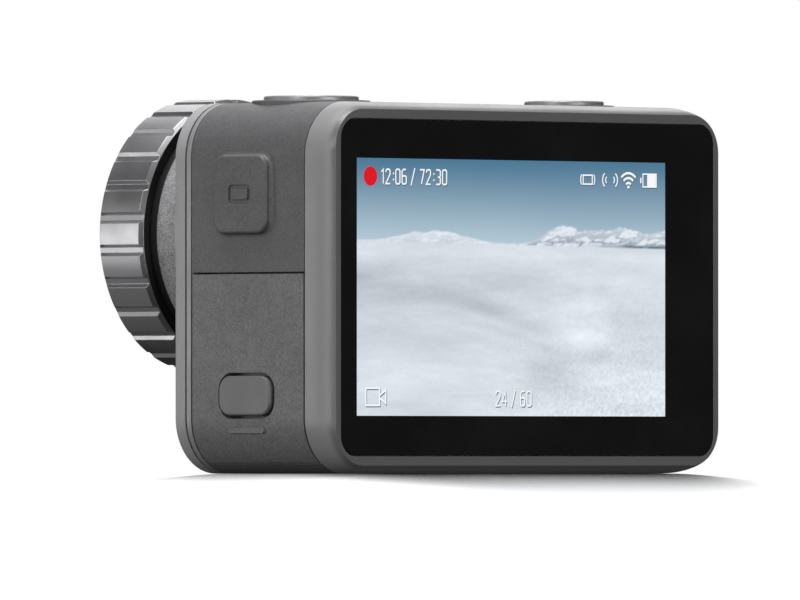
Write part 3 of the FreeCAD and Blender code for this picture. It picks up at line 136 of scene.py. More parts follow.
class StageSettings(PropertyGroup):
    """Camera, floor and lights."""
    azimuth: FloatProperty(name="Azimuth", description="Camera direction round the object",
                           default=math.radians(133.6), subtype="ANGLE", unit="ROTATION")
    elevation: FloatProperty(name="Elevation", description="Camera height above level",
                             default=math.radians(-0.5), subtype="ANGLE", unit="ROTATION")
    distance: length_setting("Distance", "Camera distance", 2.058)
    focal_length: FloatProperty(name="Focal length", description="Lens of the camera, in millimetres",
                                default=829.0, subtype="DISTANCE_CAMERA", unit="CAMERA")
    floor_slope: FloatProperty(name="Floor slope", description="How steeply the floor falls away",
                               default=math.radians(9.0), subtype="ANGLE", unit="ROTATION")
    top_power: FloatProperty(name="Top light", description="Power of the overhead softbox",
                             default=4.7, subtype="POWER", unit="POWER")
    side_power: FloatProperty(name="Side light", description="Power of the low strip beside the lens",
                              default=1.35, subtype="POWER", unit="POWER")
    front_power: FloatProperty(name="Front light", description="Power of the high front softbox",
                               default=1.2, subtype="POWER", unit="POWER")
    fill_power: FloatProperty(name="Fill light", description="Power of the fill beside the camera",
                              default=3.4, subtype="POWER", unit="POWER")
    rear_power: FloatProperty(name="Rear light", description="Power of the dim panel facing the rear screen",
                              default=4.2, subtype="POWER", unit="POWER")


# Shader building

class Shader:
    """Short calls for placing and wiring nodes in one node tree."""

    def __init__(self, tree):
        self.tree = tree

    def add(self, kind, **settings):
        """New node; a setting names a node property, or an input by its name with spaces as _."""
        node = self.tree.nodes.new(kind)
        for name, value in settings.items():
            if hasattr(node, name) and name not in node.inputs:
                setattr(node, name, value)
            else:
                self.feed(value, node.inputs[name.replace("_", " ")])
        return node

    def feed(self, value, socket):
        """A plain value, or the output of another node, into a socket."""
        if isinstance(value, bpy.types.NodeSocket):
            self.tree.links.new(value, socket)
        elif isinstance(value, tuple) and len(value) == 3 and socket.type == "RGBA":
            socket.default_value = (*value, 1.0)
        else:
            socket.default_value = value

    def math(self, operation, *values, clamp=False):
        """Output of a Math node."""
        node = self.tree.nodes.new("ShaderNodeMath")
        node.operation = operation
        node.use_clamp = clamp
        for value, socket in zip(values, node.inputs):
            self.feed(value, socket)
        return node.outputs[0]

    def spread(self, value, low, high, to_low=0.0, to_high=1.0, smooth=False):
        """Output of a Map Range node, clamped."""
        node = self.tree.nodes.new("ShaderNodeMapRange")
        node.interpolation_type = "SMOOTHSTEP" if smooth else "LINEAR"
        names = ("From Min", "From Max", "To Min", "To Max")
        for name, number in zip(names, (low, high, to_low, to_high)):
            self.feed(number, node.inputs[name])
        self.feed(value, node.inputs["Value"])
        return node.outputs["Result"]

    def mix(self, share, first, second):
        """Colour between two colours."""
        node = self.tree.nodes.new("ShaderNodeMix")
        node.data_type = "RGBA"
        for value, index in ((share, MIX_SHARE), (first, MIX_FIRST), (second, MIX_SECOND)):
            self.feed(value, node.inputs[index])
        return node.outputs[MIX_RESULT]

    def place(self):
        """Object coordinates."""
        return self.add("ShaderNodeTexCoord").outputs["Object"]

    def noise(self, vector, scale, detail=2.0, roughness=0.5):
        """Noise value, 0 to 1."""
        node = self.add("ShaderNodeTexNoise", Scale=scale, Detail=detail, Roughness=roughness)
        self.feed(vector, node.inputs["Vector"])
        return node.outputs["Fac"]

    def group(self, tree, **values):
        """A placed node group."""
        node = self.tree.nodes.new("ShaderNodeGroup")
        node.node_tree = tree
        for name, value in values.items():
            self.feed(value, node.inputs[name.replace("_", " ")])
        return node


def new_group(name, inputs, outputs):
    """Empty node group with named inputs (with defaults) and outputs."""
    tree = bpy.data.node_groups.new(name, "ShaderNodeTree")
    for label, default in inputs:
        socket = tree.interface.new_socket(label, in_out="INPUT", socket_type="NodeSocketFloat")
        socket.default_value = default
    for label in outputs:
        tree.interface.new_socket(label, in_out="OUTPUT", socket_type="NodeSocketFloat")
    shader = Shader(tree)
    return shader, shader.add("NodeGroupInput").outputs, shader.add("NodeGroupOutput").inputs


def group_once(name, build):
    """The named group, built the first time that it is asked for."""
    return bpy.data.node_groups.get(name) or build(name)


def moulded_grain(name):
    """Fine pebbled grain: two scales of noise give a height and a tone."""
    shader, given, out = new_group(name, [("Size", 0.0002)], ["Height", "Tone"])
    scale = shader.math("DIVIDE", 1.0, given["Size"])
    place = shader.place()
    fine = shader.noise(place, scale, 3.0, 0.6)
    coarse = shader.noise(place, shader.math("MULTIPLY", scale, 0.16), 2.0)
    height = shader.math("ADD",
                         shader.math("MULTIPLY", fine, 0.8),
                         shader.math("MULTIPLY", coarse, 0.2))
    shader.feed(height, out["Height"])
    shader.feed(shader.spread(height, 0.3, 0.7), out["Tone"])
    return shader.tree


def handling_marks(name):
    """Soft smudges, and a light rub where faces meet at an edge."""
    shader, given, out = new_group(name, [("Edge", 0.00015)], ["Smudge", "Edge"])
    place = shader.place()
    smudge = shader.spread(shader.noise(place, 90.0, 4.0, 0.6), 0.35, 0.7, smooth=True)
    shader.feed(smudge, out["Smudge"])
    rounded = shader.add("ShaderNodeBevel", samples=BEVEL_SAMPLES)
    shader.feed(given["Edge"], rounded.inputs["Radius"])
    plain = shader.add("ShaderNodeNewGeometry").outputs["Normal"]
    alike = shader.add("ShaderNodeVectorMath", operation="DOT_PRODUCT")
    shader.feed(rounded.outputs[0], alike.inputs[0])
    shader.feed(plain, alike.inputs[1])
    turned = shader.spread(alike.outputs["Value"], 0.995, 0.93)
    broken = shader.spread(shader.noise(place, 900.0, 2.0), 0.4, 0.65)
    shader.feed(shader.math("MULTIPLY", turned, broken), out["Edge"])
    return shader.tree


def turned_lines(name):
    """Fine cutting lines round the lens axis, and the distance from that axis."""
    shader, given, out = new_group(name, [("Pitch", LINE_PITCH)], ["Height", "Tone", "Radius"])
    parts = shader.add("ShaderNodeSeparateXYZ")
    shader.feed(shader.place(), parts.inputs[0])
    low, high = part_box("filter_ring")
    across = shader.math("SUBTRACT", parts.outputs["X"], (low.x + high.x) / 2)
    up = shader.math("SUBTRACT", parts.outputs["Z"], (low.z + high.z) / 2)
    squared = shader.math("ADD",
                          shader.math("MULTIPLY", across, across),
                          shader.math("MULTIPLY", up, up))
    radius = shader.math("SQRT", squared)
    stacked = shader.add("ShaderNodeCombineXYZ")
    shader.feed(radius, stacked.inputs["X"])
    shader.feed(parts.outputs["Y"], stacked.inputs["Y"])
    lines = shader.noise(stacked.outputs[0], shader.math("DIVIDE", 1.0, given["Pitch"]), 2.0, 0.7)
    shader.feed(lines, out["Height"])
    shader.feed(shader.spread(lines, 0.3, 0.7), out["Tone"])
    shader.feed(radius, out["Radius"])
    return shader.tree


def new_material(name):
    """Material with a Principled shader; returns its Shader helper and the shader's inputs."""
    material = bpy.data.materials.new(name)
    material.use_nodes = True
    principled = material.node_tree.nodes["Principled BSDF"]
    return material, Shader(material.node_tree), principled.inputs


def bump_into(shader, inputs, height, strength, distance, rounding):
    """Bump from a height, over edges rounded for shading."""
    bump = shader.add("ShaderNodeBump", Strength=strength, Distance=distance)
    shader.feed(height, bump.inputs["Height"])
    rounded = shader.add("ShaderNodeBevel", samples=BEVEL_SAMPLES, Radius=rounding)
    shader.feed(rounded.outputs[0], bump.inputs["Normal"])
    shader.feed(bump.outputs[0], inputs["Normal"])


def scaled(colour, factor):
    """A colour made lighter or darker."""
    return tuple(min(1.0, channel * factor) for channel in colour)


def y_of_place(shader):
    """The y of Object coordinates."""
    parts = shader.add("ShaderNodeSeparateXYZ")
    shader.feed(shader.place(), parts.inputs[0])
    return parts.outputs["Y"]


def plastic(name, colour, roughness=0.5, grain=0.2 * MM, depth=0.02 * MM, contrast=0.12, painted_shade_zone=None):
    """Moulded plastic: grain in height and tone, smudged gloss and rubbed edges.

    A painted shade zone is (start, end, colour): that darker colour takes over between two values of y, as
    painted shade.
    """
    material, shader, inputs = new_material(name)
    texture = shader.group(group_once("Moulded grain", moulded_grain), Size=grain)
    marks = shader.group(group_once("Handling marks", handling_marks))
    toned = shader.mix(texture.outputs["Tone"], scaled(colour, 1 - contrast), scaled(colour, 1 + contrast))
    rubbed = shader.mix(shader.math("MULTIPLY", marks.outputs["Edge"], 0.35), toned, scaled(colour, 1.7))
    # Painted shade: between the zone's two values of y the darker colour is mixed in
    if painted_shade_zone:
        start, end, other = painted_shade_zone
        rubbed = shader.mix(shader.spread(y_of_place(shader), start, end), rubbed, other)
    gloss = shader.spread(marks.outputs["Smudge"], 0, 1, roughness - 0.05, roughness + 0.06)
    shader.feed(rubbed, inputs["Base Color"])
    shader.feed(gloss, inputs["Roughness"])
    bump_into(shader, inputs, texture.outputs["Height"], 0.5, depth, PLASTIC_ROUNDING)
    return material


def metal(name, colour, roughness, metallic=1.0, painted_shade_inside=0.0):
    """Turned and anodised metal: cutting lines in height and tone, and painted shade inside a radius: matt
    black where the ring's recess lies in shadow.
    """
    material, shader, inputs = new_material(name)
    lines = shader.group(group_once("Turned lines", turned_lines), Pitch=LINE_PITCH)
    marks = shader.group(group_once("Handling marks", handling_marks))
    toned = shader.mix(lines.outputs["Tone"], scaled(colour, 0.92), scaled(colour, 1.08))
    rubbed = shader.mix(shader.math("MULTIPLY", marks.outputs["Edge"], 0.3), toned, scaled(colour, 1.4))
    gloss = shader.spread(marks.outputs["Smudge"], 0, 1, roughness - 0.05, roughness + 0.07)
    inputs["Metallic"].default_value = metallic
    # Painted shade: inside the radius the metal turns matt black and non-metallic, standing in for the
    # recess's shadow
    if painted_shade_inside:
        outside = shader.math("GREATER_THAN", lines.outputs["Radius"], painted_shade_inside)
        rubbed = shader.mix(outside, PAINTED_RECESS_SHADE, rubbed)
        gloss = shader.spread(outside, 0, 1, 0.75, gloss)
        shader.feed(shader.math("MULTIPLY", outside, metallic), inputs["Metallic"])
    shader.feed(rubbed, inputs["Base Color"])
    shader.feed(gloss, inputs["Roughness"])
    bump_into(shader, inputs, lines.outputs["Height"], 0.4, LINE_DEPTH, METAL_ROUNDING)
    return material


def coated_glass(name, tint, index):
    """Clear glass whose coating leaves only faint reflections, so it takes a low index."""
    material, shader, inputs = new_material(name)
    inputs["Base Color"].default_value = (*tint, 1.0)
    inputs["Transmission Weight"].default_value = 1.0
    inputs["IOR"].default_value = index
    smudge = shader.noise(shader.place(), 120.0, 4.0)
    shader.feed(shader.spread(smudge, 0.4, 0.8, 0.0, 0.02), inputs["Roughness"])
    return material


def finish_nodes(material, *names):
    """Puts a material on CAD nodes, in place of what they came with."""
    for name in names:
        mesh = NODES[name].data
        mesh.materials.clear()
        mesh.materials.append(material)


# Mesh building

def add_piece(name, vertices, faces, body, material, smooth=True):
    """New mesh piece at the origin that rides on a body."""
    mesh = bpy.data.meshes.new(name)
    mesh.from_pydata(vertices, [], faces)
    if smooth:
        mesh.polygons.foreach_set("use_smooth", np.ones(len(mesh.polygons), bool))
    mesh.materials.append(material)
    piece = bpy.data.objects.new(name, mesh)
    bpy.context.scene.collection.objects.link(piece)
    if body:
        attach(piece, body)
    return piece


def grid_faces(rows, columns, closed=False):
    """Quads of a grid whose points run row by row; closed joins the last column to the first."""
    row = np.arange(rows - 1)[:, None]
    column = np.arange(columns if closed else columns - 1)[None, :]
    following = (column + 1) % columns
    corners = (row * columns + column, row * columns + following,
               (row + 1) * columns + following, (row + 1) * columns + column)
    return np.stack([c + 0 * row for c in corners], axis=-1).reshape(-1, 4)


def switch_skirt(material):
    """Column j goes round the switch's rounded outline: the middle of the nearest corner's
    arc, plus the arc's radius and an offset along the angle. Row i takes the offset from
    wide to none while the height climbs as one minus the root of one minus its square.
    """
    low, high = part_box("quick_switch_button")
    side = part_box("mid_housing")[1].x
    corner, width, rise, sunk = 1.5 * MM, 0.62 * MM, 0.33 * MM, 0.01 * MM
    rows, columns = 9, 128
    half = (high - low) / 2 - type(low)((0, corner, corner))
    angle = np.linspace(0, 2 * math.pi, columns, endpoint=False)[None, :]
    share = np.linspace(0, 1, rows)[:, None]
    reach = corner - sunk + width * (1 - share)
    y = (low.y + high.y) / 2 + np.sign(np.cos(angle)) * half.y + reach * np.cos(angle)
    z = (low.z + high.z) / 2 + np.sign(np.sin(angle)) * half.z + reach * np.sin(angle)
    x = side - sunk + rise * (1 - np.sqrt(1 - share ** 2)) + 0 * angle
    vertices = np.stack([x, y, z], axis=-1).reshape(-1, 3)
    faces = grid_faces(rows, columns, closed=True).tolist()
    add_piece("quick_switch_skirt", vertices, faces, "body", material)


def soft_noise(x, y, seed, octaves=4):
    """Smooth noise from 0 to 1: random lattices, eased between their points and halved per octave."""
    total = np.zeros(np.broadcast(x, y).shape)
    weight = 0.0
    for octave in range(octaves):
        lattice = np.random.default_rng(seed + octave).random((LATTICE, LATTICE))
        step = 2.0 ** octave
        across, up = x * step, y * step
        left, low = np.floor(across).astype(int), np.floor(up).astype(int)
        share_x, share_y = across - left, up - low
        share_x = share_x * share_x * (3 - 2 * share_x)
        share_y = share_y * share_y * (3 - 2 * share_y)

        def corner(i, j):
            return lattice[(left + i) % LATTICE, (low + j) % LATTICE]

        bottom = corner(0, 0) * (1 - share_x) + corner(1, 0) * share_x
        top = corner(0, 1) * (1 - share_x) + corner(1, 1) * share_x
        total += (bottom * (1 - share_y) + top * share_y) / step
        weight += 1 / step
    return total / weight


# Rear screen

class ScreenPlane:
    """Places on the rear screen, in millimetres from its left and top edges as the user sees it."""

    def __init__(self, settings):
        low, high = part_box("rear_glass")
        self.width = settings.width
        self.height = settings.height
        middle_z = (low.z + high.z) / 2 + 0.05 * MM
        self.left = settings.offset + settings.width / 2
        self.top = middle_z + settings.height / 2
        self.face = high.y

    def points(self, across, down, depth):
        """Points in the CAD frame; depth is how far they lie under the glass face, in millimetres."""
        x = self.left - np.asarray(across) * MM
        z = self.top - np.asarray(down) * MM
        return np.stack([x, np.full(x.shape, self.face - depth * MM), z], axis=-1)


def step_over(value, edge, softness):
    """0 below an edge, 1 above it, with a short ramp between."""
    return np.clip((value - edge) / softness + 0.5, 0, 1)[..., None]


def bell(value, middle, reach):
    """Bell curve: e to the minus square of the distance from the middle, in reaches."""
    return np.exp(-((value - middle) / reach) ** 2)


def picture_colours(across, down, settings):
    """Snow scene from shares across and down, 0 to 1.

    The sky fades to haze at the horizon. Two ranges stand on it, whose crests are bell and
    ramp curves times ridged noise. The field below is snow times drifts, tracks, mist and grit.
    """
    across, down = np.broadcast_arrays(across, down)
    sky, haze, snow = (np.array(c) for c in (settings.sky_colour, settings.haze_colour, settings.snow_colour))
    horizon = 0.318 + 0.022 * across
    fade = np.clip(down / horizon, 0, 1)[..., None] ** 1.2
    cloud = soft_noise(across * 3, down * 9, 91, 4)[..., None]
    colour = sky * (1 - fade) + haze * fade + 0.05 * fade * (cloud - 0.4)

    # The crests of the two ranges, and the rock that shows between their snow
    line = soft_noise(across * 9, 0 * across, 7, 5)
    crags = 1 - np.abs(2 * soft_noise(across * 22, 0 * across, 17, 4) - 1)
    left_range = 0.072 * bell(across, 0.26, 0.12) * (0.35 + 0.9 * line)
    humps = 1 + 0.18 * np.cos((across - 0.86) * 30)
    right_range = 0.092 / (1 + np.exp(-(across - 0.60) / 0.025)) * humps * (0.30 + 0.45 * line + 0.30 * crags)
    crest = horizon - left_range - right_range
    slope = np.clip((down - crest) / np.maximum(horizon - crest, 0.004), 0, 1)
    ridges = 1 - np.abs(2 * soft_noise(across * 34 + down * 30, down * 52, 21, 5) - 1)
    rocky = np.where(across > 0.5, 0.75, 0.30) * np.clip((ridges - 0.62) * 3.2, 0, 1) * (0.4 + 0.6 * slope)
    foot = np.clip((slope - 0.72) * 6, 0, 1) * np.clip((across - 0.70) * 5, 0, 1)
    rocky = np.maximum(rocky, 0.85 * foot * (0.45 + 0.8 * ridges))
    rock = np.array((0.13, 0.18, 0.25))
    peak = snow * 1.12 * (1 - rocky[..., None]) + rock * rocky[..., None]
    colour = colour + (peak - colour) * step_over(down, crest, 0.006)

    # The snow field, from the horizon (near = 0) to the foot of the screen (near = 1)
    near = np.clip((down - horizon) / (1 - horizon), 0, 1)
    drift = soft_noise(across * 4 + 3, down * 13, 33, 5)
    ripple = soft_noise(across * 26 + down * 8, down * 90, 61, 3)
    grit = soft_noise(across * 170, down * 120, 41, 2)
    shade = 0.92 + 0.34 * (drift - 0.47) + 0.08 * (ripple - 0.5) + 0.10 * across * near
    shade += 0.09 * bell(near, 0.04, 0.06) + 0.07 * near ** 2
    shade -= 0.12 * bell(near, 0.25, 0.13) * (1 - across)
    shade += (grit - 0.5) * (0.05 + 0.42 * near ** 2 * step_over(across, 0.62, 0.5)[..., 0])
    for middle, reach, drop in ((0.545, 0.18, 0.22), (0.60, 0.22, 0.10)):
        path = middle + 0.30 * (across - 0.32) + 0.30 * (across - 0.32) ** 2 + 0.02 * (drift - 0.5)
        track = bell(down, path, 0.038) - 0.4 * bell(down - path, 0.045, 0.02)
        shade -= drop * track * bell(across, 0.46, reach) * (0.6 + 0.8 * ripple)
    mist = bell(across, 0.76, 0.12) * bell(down - 0.3 * (across - 0.76), 0.62, 0.15)
    plume = soft_noise(across * 10, down * 8, 55, 5)
    shade += mist * (0.62 * plume - 0.20)
    hollow = bell(across, 0.62, 0.10) * bell(down, 0.84, 0.07)
    shade -= 0.20 * hollow * (0.6 + 0.8 * plume)
    cool = np.array((0.985, 0.99, 1.0))
    lit = np.clip(shade, 0.3, 1.4)[..., None]
    field = snow * lit * (cool + (1 - cool) * np.clip(lit * 2 - 1.1, 0, 1))
    colour = colour + (field - colour) * step_over(down, horizon, 0.006)
    return np.clip(colour, 0, 0.93)


def screen_picture(plane, settings):
    """Flat grid under the glass, a little past its window, coloured by picture_colours."""
    rows, columns, margin = 238, 412, 0.01
    down = np.linspace(-margin, 1 + margin, rows)[:, None]
    across = np.linspace(-margin, 1 + margin, columns)[None, :]
    millimetres = (across * plane.width / MM, down * plane.height / MM)
    vertices = plane.points(*np.broadcast_arrays(*millimetres), PICTURE_DEPTH).reshape(-1, 3)
    faces = grid_faces(rows, columns)[:, ::-1]
    material, shader, inputs = new_material("Lit picture")
    inputs["Base Color"].default_value = NO_COLOUR
    inputs["Specular IOR Level"].default_value = 0.0
    attribute = shader.add("ShaderNodeAttribute", attribute_name="picture")
    shader.feed(attribute.outputs["Color"], inputs["Emission Color"])
    inputs["Emission Strength"].default_value = 1.0
    piece = add_piece("rear_screen_picture", vertices, faces.tolist(), "body", material)
    colours = np.ones((rows * columns, 4), np.float32)
    colours[:, :3] = picture_colours(across, down, settings).reshape(-1, 3)
    layer = piece.data.color_attributes.new("picture", "FLOAT_COLOR", "POINT")
    layer.data.foreach_set("color", colours.ravel())


# Centre lines of each digit, in a cell 1 wide and 2 high
STROKES = {
    "0": [[(0, 0.2), (0, 1.8), (0.2, 2), (0.8, 2), (1, 1.8), (1, 0.2), (0.8, 0), (0.2, 0), (0, 0.2)]],
    "1": [[(0.15, 1.6), (0.6, 2), (0.6, 0)]],
    "2": [[(0, 1.6), (0.1, 1.9), (0.3, 2), (0.8, 2), (1, 1.8), (1, 1.3), (0, 0), (1, 0)]],
    "3": [[(0, 2), (0.8, 2), (1, 1.8), (1, 1.2), (0.8, 1), (0.4, 1)],
          [(0.8, 1), (1, 0.8), (1, 0.2), (0.8, 0), (0, 0)]],
    "4": [[(0.75, 0), (0.75, 2), (0, 0.6), (1.05, 0.6)]],
    "6": [[(0.9, 2), (0.3, 2), (0, 1.7), (0, 0.2), (0.2, 0), (0.8, 0),
           (1, 0.2), (1, 0.9), (0.8, 1.1), (0, 1.1)]],
    "7": [[(0, 2), (1, 2), (0.35, 0)]],
    "/": [[(0, -0.2), (0.9, 2.2)]],
    ":": [[(0.3, 0.45), (0.3, 0.7)], [(0.3, 1.3), (0.3, 1.55)]],
    " ": [],
}


def ribbon(points, width):
    """Strip of even width along a run of points: each point is moved both ways along its mitre."""
    points = np.asarray(points, float)
    ahead = np.diff(points, axis=0)
    ahead /= np.linalg.norm(ahead, axis=1, keepdims=True)
    closed = np.allclose(points[0], points[-1])
    before = np.vstack([ahead[-1:] if closed else ahead[:1], ahead])
    after = np.vstack([ahead, ahead[:1] if closed else ahead[-1:]])
    mitre = before + after
    mitre /= np.maximum(np.linalg.norm(mitre, axis=1, keepdims=True), 1e-9)
    reach = width / 2 / np.maximum((mitre * after).sum(1, keepdims=True), 0.5)
    sideways = np.stack([-mitre[:, 1], mitre[:, 0]], axis=1) * reach
    return np.vstack([points - sideways, points + sideways]), grid_faces(2, len(points))


def text_strokes(text, left, middle, height, pitch):
    """Centre lines of a run of digits, in millimetres across and down; pitch sets their widths."""
    runs = []
    cursor = left
    for letter in text:
        for stroke in STROKES[letter]:
            scale = np.array([pitch * 0.36, height / 2])
            line = np.array(stroke) * scale
            runs.append(np.stack([cursor + line[:, 0], middle + height / 2 - line[:, 1]], axis=1))
        cursor += pitch * {":": 0.31, " ": 0.23, "1": 0.44}.get(letter, 0.55)
    return runs


def arc(centre, radius, start, end, steps=12):
    """Points of an arc, with angles in degrees and down the screen as positive."""
    angle = np.radians(np.linspace(start, end, steps))
    return np.stack([centre[0] + radius * np.cos(angle), centre[1] + radius * np.sin(angle)], axis=1)


def rectangle(left, top, right, bottom):
    """Closed outline of a rectangle."""
    return [(left, top), (right, top), (right, bottom), (left, bottom), (left, top)]


def overlay_runs(settings, width, height):
    """Centre lines and widths of everything drawn over the picture."""
    row = TOP_ROW
    runs = [(line, 0.18) for line in text_strokes(settings.timer, 3.9, row, 1.6, 1.85)]
    rate = text_strokes(settings.rate, width / 2 - 2.6, height - 1.95, 1.6, 1.9)
    runs += [(line, 0.18) for line in rate]
    middle = width - 6.0
    for radius in (0.55, 1.1, 1.65):
        runs.append((arc((middle, row + 0.85), radius, -135, -45), 0.26))
    runs.append(([(middle, row + 0.62), (middle, row + 0.9)], 0.36))
    runs.append((rectangle(width - 3.6, row - 0.72, width - 1.4, row + 0.72), 0.16))
    runs.append(([(width - 2.9, row), (width - 1.5, row)], 1.3))
    runs.append(([(width - 3.95, row - 0.3), (width - 3.95, row + 0.3)], 0.22))
    talk = width - 9.3
    for radius in (0.45, 0.95):
        runs.append((arc((talk, row), radius, 130, 230, 10), 0.17))
        runs.append((arc((talk + 0.55, row), radius, -50, 50, 10), 0.17))
    steady = width - 12.7
    runs.append((rectangle(steady - 0.75, row - 0.5, steady + 0.75, row + 0.5), 0.17))
    for side in (-1, 1):
        runs.append((arc((steady, row), 1.15, 90 * (1 - side) - 30, 90 * (1 - side) + 30, 8), 0.16))
    foot = height - 2.1
    runs.append((rectangle(1.5, foot - 0.95, 3.7, foot + 0.95), 0.2))
    runs.append(([(3.8, foot - 0.2), (4.7, foot - 0.75), (4.7, foot + 0.75), (3.8, foot + 0.2)], 0.2))
    return runs


def overlay_piece(name, plane, runs, shift, depth, colour):
    """All the strokes as one flat mesh just over the picture."""
    vertices, faces, count = [], [], 0
    for points, width in runs:
        strip, quads = ribbon(np.asarray(points) + shift, width)
        vertices.append(plane.points(strip[:, 0], strip[:, 1], depth))
        faces.append(quads + count)
        count += len(strip)
    material, _, inputs = new_material(name.replace("_", " "))
    inputs["Base Color"].default_value = NO_COLOUR
    inputs["Specular IOR Level"].default_value = 0.0
    inputs["Emission Color"].default_value = (*colour, 1.0)
    inputs["Emission Strength"].default_value = 1.0
    add_piece(name, np.vstack(vertices), np.vstack(faces).tolist(), "body", material, smooth=False)


def recording_dot(plane, settings):
    """Disc: point (i, j) lies at a share i of the radius and at angle j."""
    rows, columns = 5, 48
    share = np.linspace(0.02, 1, rows)[:, None]
    angle = np.linspace(0, 2 * math.pi, columns, endpoint=False)[None, :]
    across = DOT_ACROSS + DOT_RADIUS * share * np.cos(angle)
    down = TOP_ROW + DOT_RADIUS * share * np.sin(angle)
    vertices = plane.points(across, down, OVERLAY_DEPTH).reshape(-1, 3)
    faces = grid_faces(rows, columns, closed=True).tolist() + [list(range(columns))]
    material, _, inputs = new_material("Recording dot")
    inputs["Base Color"].default_value = NO_COLOUR
    inputs["Emission Color"].default_value = (*settings.record_colour, 1.0)
    inputs["Emission Strength"].default_value = 1.0
    add_piece("recording_dot", vertices, faces, "body", material, smooth=False)


def screen_glass(name, colour, window, clear):
    """Black printed glass with a window, (left, right, low, high) in x and z; clear is the window's alpha."""
    material, shader, inputs = new_material(name)
    parts = shader.add("ShaderNodeSeparateXYZ")
    shader.feed(shader.place(), parts.inputs[0])
    left, right, low, high = window
    inside = shader.math("MULTIPLY",
                         shader.math("GREATER_THAN", parts.outputs["X"], left),
                         shader.math("LESS_THAN", parts.outputs["X"], right))
    inside = shader.math("MULTIPLY", inside, shader.math("GREATER_THAN", parts.outputs["Z"], low))
    inside = shader.math("MULTIPLY", inside, shader.math("LESS_THAN", parts.outputs["Z"], high))
    smudge = shader.spread(shader.noise(shader.place(), 70.0, 4.0, 0.6), 0.4, 0.75, smooth=True)
    toned = shader.mix(smudge, colour, scaled(colour, 1.5))
    shader.feed(toned, inputs["Base Color"])
    shader.feed(shader.spread(smudge, 0, 1, 0.045, 0.12), inputs["Roughness"])
    inputs["IOR"].default_value = 1.45
    shader.feed(shader.spread(inside, 0, 1, 1.0, clear), inputs["Alpha"])
    return material


# Operators

class CAMERA_OT_housing(Operator):
    """Plastic shells, lens boss, trim band and port cover"""
    bl_idname = "action_camera.housing"
    bl_label = "Finish the housing"

    def execute(self, context):
        s = context.scene.camera_finish
        grain = s.grain_size
        ring_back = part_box("filter_ring")[1].y
        # Painted shade: the bezel's lip next to the rear glass takes this darker colour, where it turns away
        # from the light
        face = scaled(s.bezel_colour, 0.57)
        bezel_painted_shade = (CAD_HIGH.y - 0.95 * MM, CAD_HIGH.y - 0.35 * MM, face)
        # Painted shade: the boss turns near-black just behind the filter ring, where the ring shades it
        boss_painted_shade = (ring_back + 0.86 * MM, ring_back + 0.80 * MM, PAINTED_RECESS_SHADE)
        panel = plastic("Panel plastic", tuple(s.panel_colour), roughness=0.55, grain=grain,
                        depth=0.04 * MM, contrast=0.30)
        finish_nodes(panel, "mid_housing")
        cover = plastic("Cover plastic", tuple(s.cover_colour), roughness=0.55, grain=grain,
                        depth=0.05 * MM, contrast=0.42)
        finish_nodes(cover, "port_cover")
        bezel = plastic("Bezel plastic", tuple(s.bezel_colour), roughness=0.38, grain=grain * 0.7,
                        depth=0.006 * MM, contrast=0.04, painted_shade_zone=bezel_painted_shade)
        finish_nodes(bezel, "rear_bezel")
        front = plastic("Frame plastic", tuple(s.frame_colour), roughness=0.5, grain=grain * 0.8,
                        depth=0.012 * MM, contrast=0.08)
        finish_nodes(front, "front_frame")
        boss = plastic("Boss plastic", tuple(s.boss_colour), roughness=0.55, grain=grain * 0.85,
                       depth=0.06 * MM, contrast=0.65, painted_shade_zone=boss_painted_shade)
        finish_nodes(boss, "lens_boss")
        trim = metal("Trim metal", tuple(s.trim_colour), roughness=0.45, metallic=0.25)
        finish_nodes(trim, "trim_band")
        return {"FINISHED"}


class CAMERA_OT_seals(Operator):
    """Rubber seals and gaskets"""
    bl_idname = "action_camera.seals"
    bl_label = "Finish the seals"

    def execute(self, context):
        s = context.scene.camera_finish
        rubber = plastic("Seal rubber", tuple(s.rubber_colour), roughness=0.7, grain=0.1 * MM,
                         depth=0.008 * MM, contrast=0.2)
        finish_nodes(rubber, *[name for name in NODES if "seal" in name or "gasket" in name])
        return {"FINISHED"}


class CAMERA_OT_controls(Operator):
    bl_idname = "action_camera.controls"
    bl_label = "Finish the controls"

    def execute(self, context):
        s = context.scene.camera_finish
        grain = s.grain_size
        switch = plastic("Switch plastic", tuple(s.panel_colour), roughness=0.55, grain=grain,
                         depth=0.04 * MM, contrast=0.30)
        finish_nodes(switch, "quick_switch_button")
        switch_skirt(switch)
        latch = plastic("Latch plastic", scaled(s.cover_colour, 0.93), roughness=0.42, grain=grain * 0.7,
                        depth=0.008 * MM, contrast=0.05)
        finish_nodes(latch, "port_latch")
        collar = plastic("Collar plastic", tuple(s.panel_colour), grain=grain, depth=0.01 * MM)
        finish_nodes(collar, "record_collar", "power_collar")
        plate = metal("Button plate", tuple(s.button_colour), roughness=0.4, metallic=0.4)
        finish_nodes(plate, "record_button", "power_button")
        return {"FINISHED"}


class CAMERA_OT_lens(Operator):
    """Faceted ring, filter glass, barrel and coated elements"""
    bl_idname = "action_camera.lens"
    bl_label = "Finish the lens"

    def execute(self, context):
        s = context.scene.camera_finish
        low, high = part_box("filter_ring")
        # Inside this radius the ring is painted matt black as shade for its recess
        recess = (high.x - low.x) / 2 - s.ring_edge
        ring = metal("Ring metal", tuple(s.ring_colour), roughness=0.36, painted_shade_inside=recess)
        finish_nodes(ring, "filter_ring")
        black = plastic("Barrel black", (0.012, 0.012, 0.013), grain=0.1 * MM, depth=0.008 * MM, contrast=0.1)
        finish_nodes(black, "lens_barrel", "lens_trim_ring", "filter_retainer", "sensor_package")
        finish_nodes(coated_glass("Filter glass", (0.90, 0.92, 1.0), 1.18), "filter_glass")
        finish_nodes(coated_glass("Element glass", (0.34, 0.34, 0.52), 1.30),
                     "lens_element_front", "lens_element_middle", "lens_element_rear")
        return {"FINISHED"}


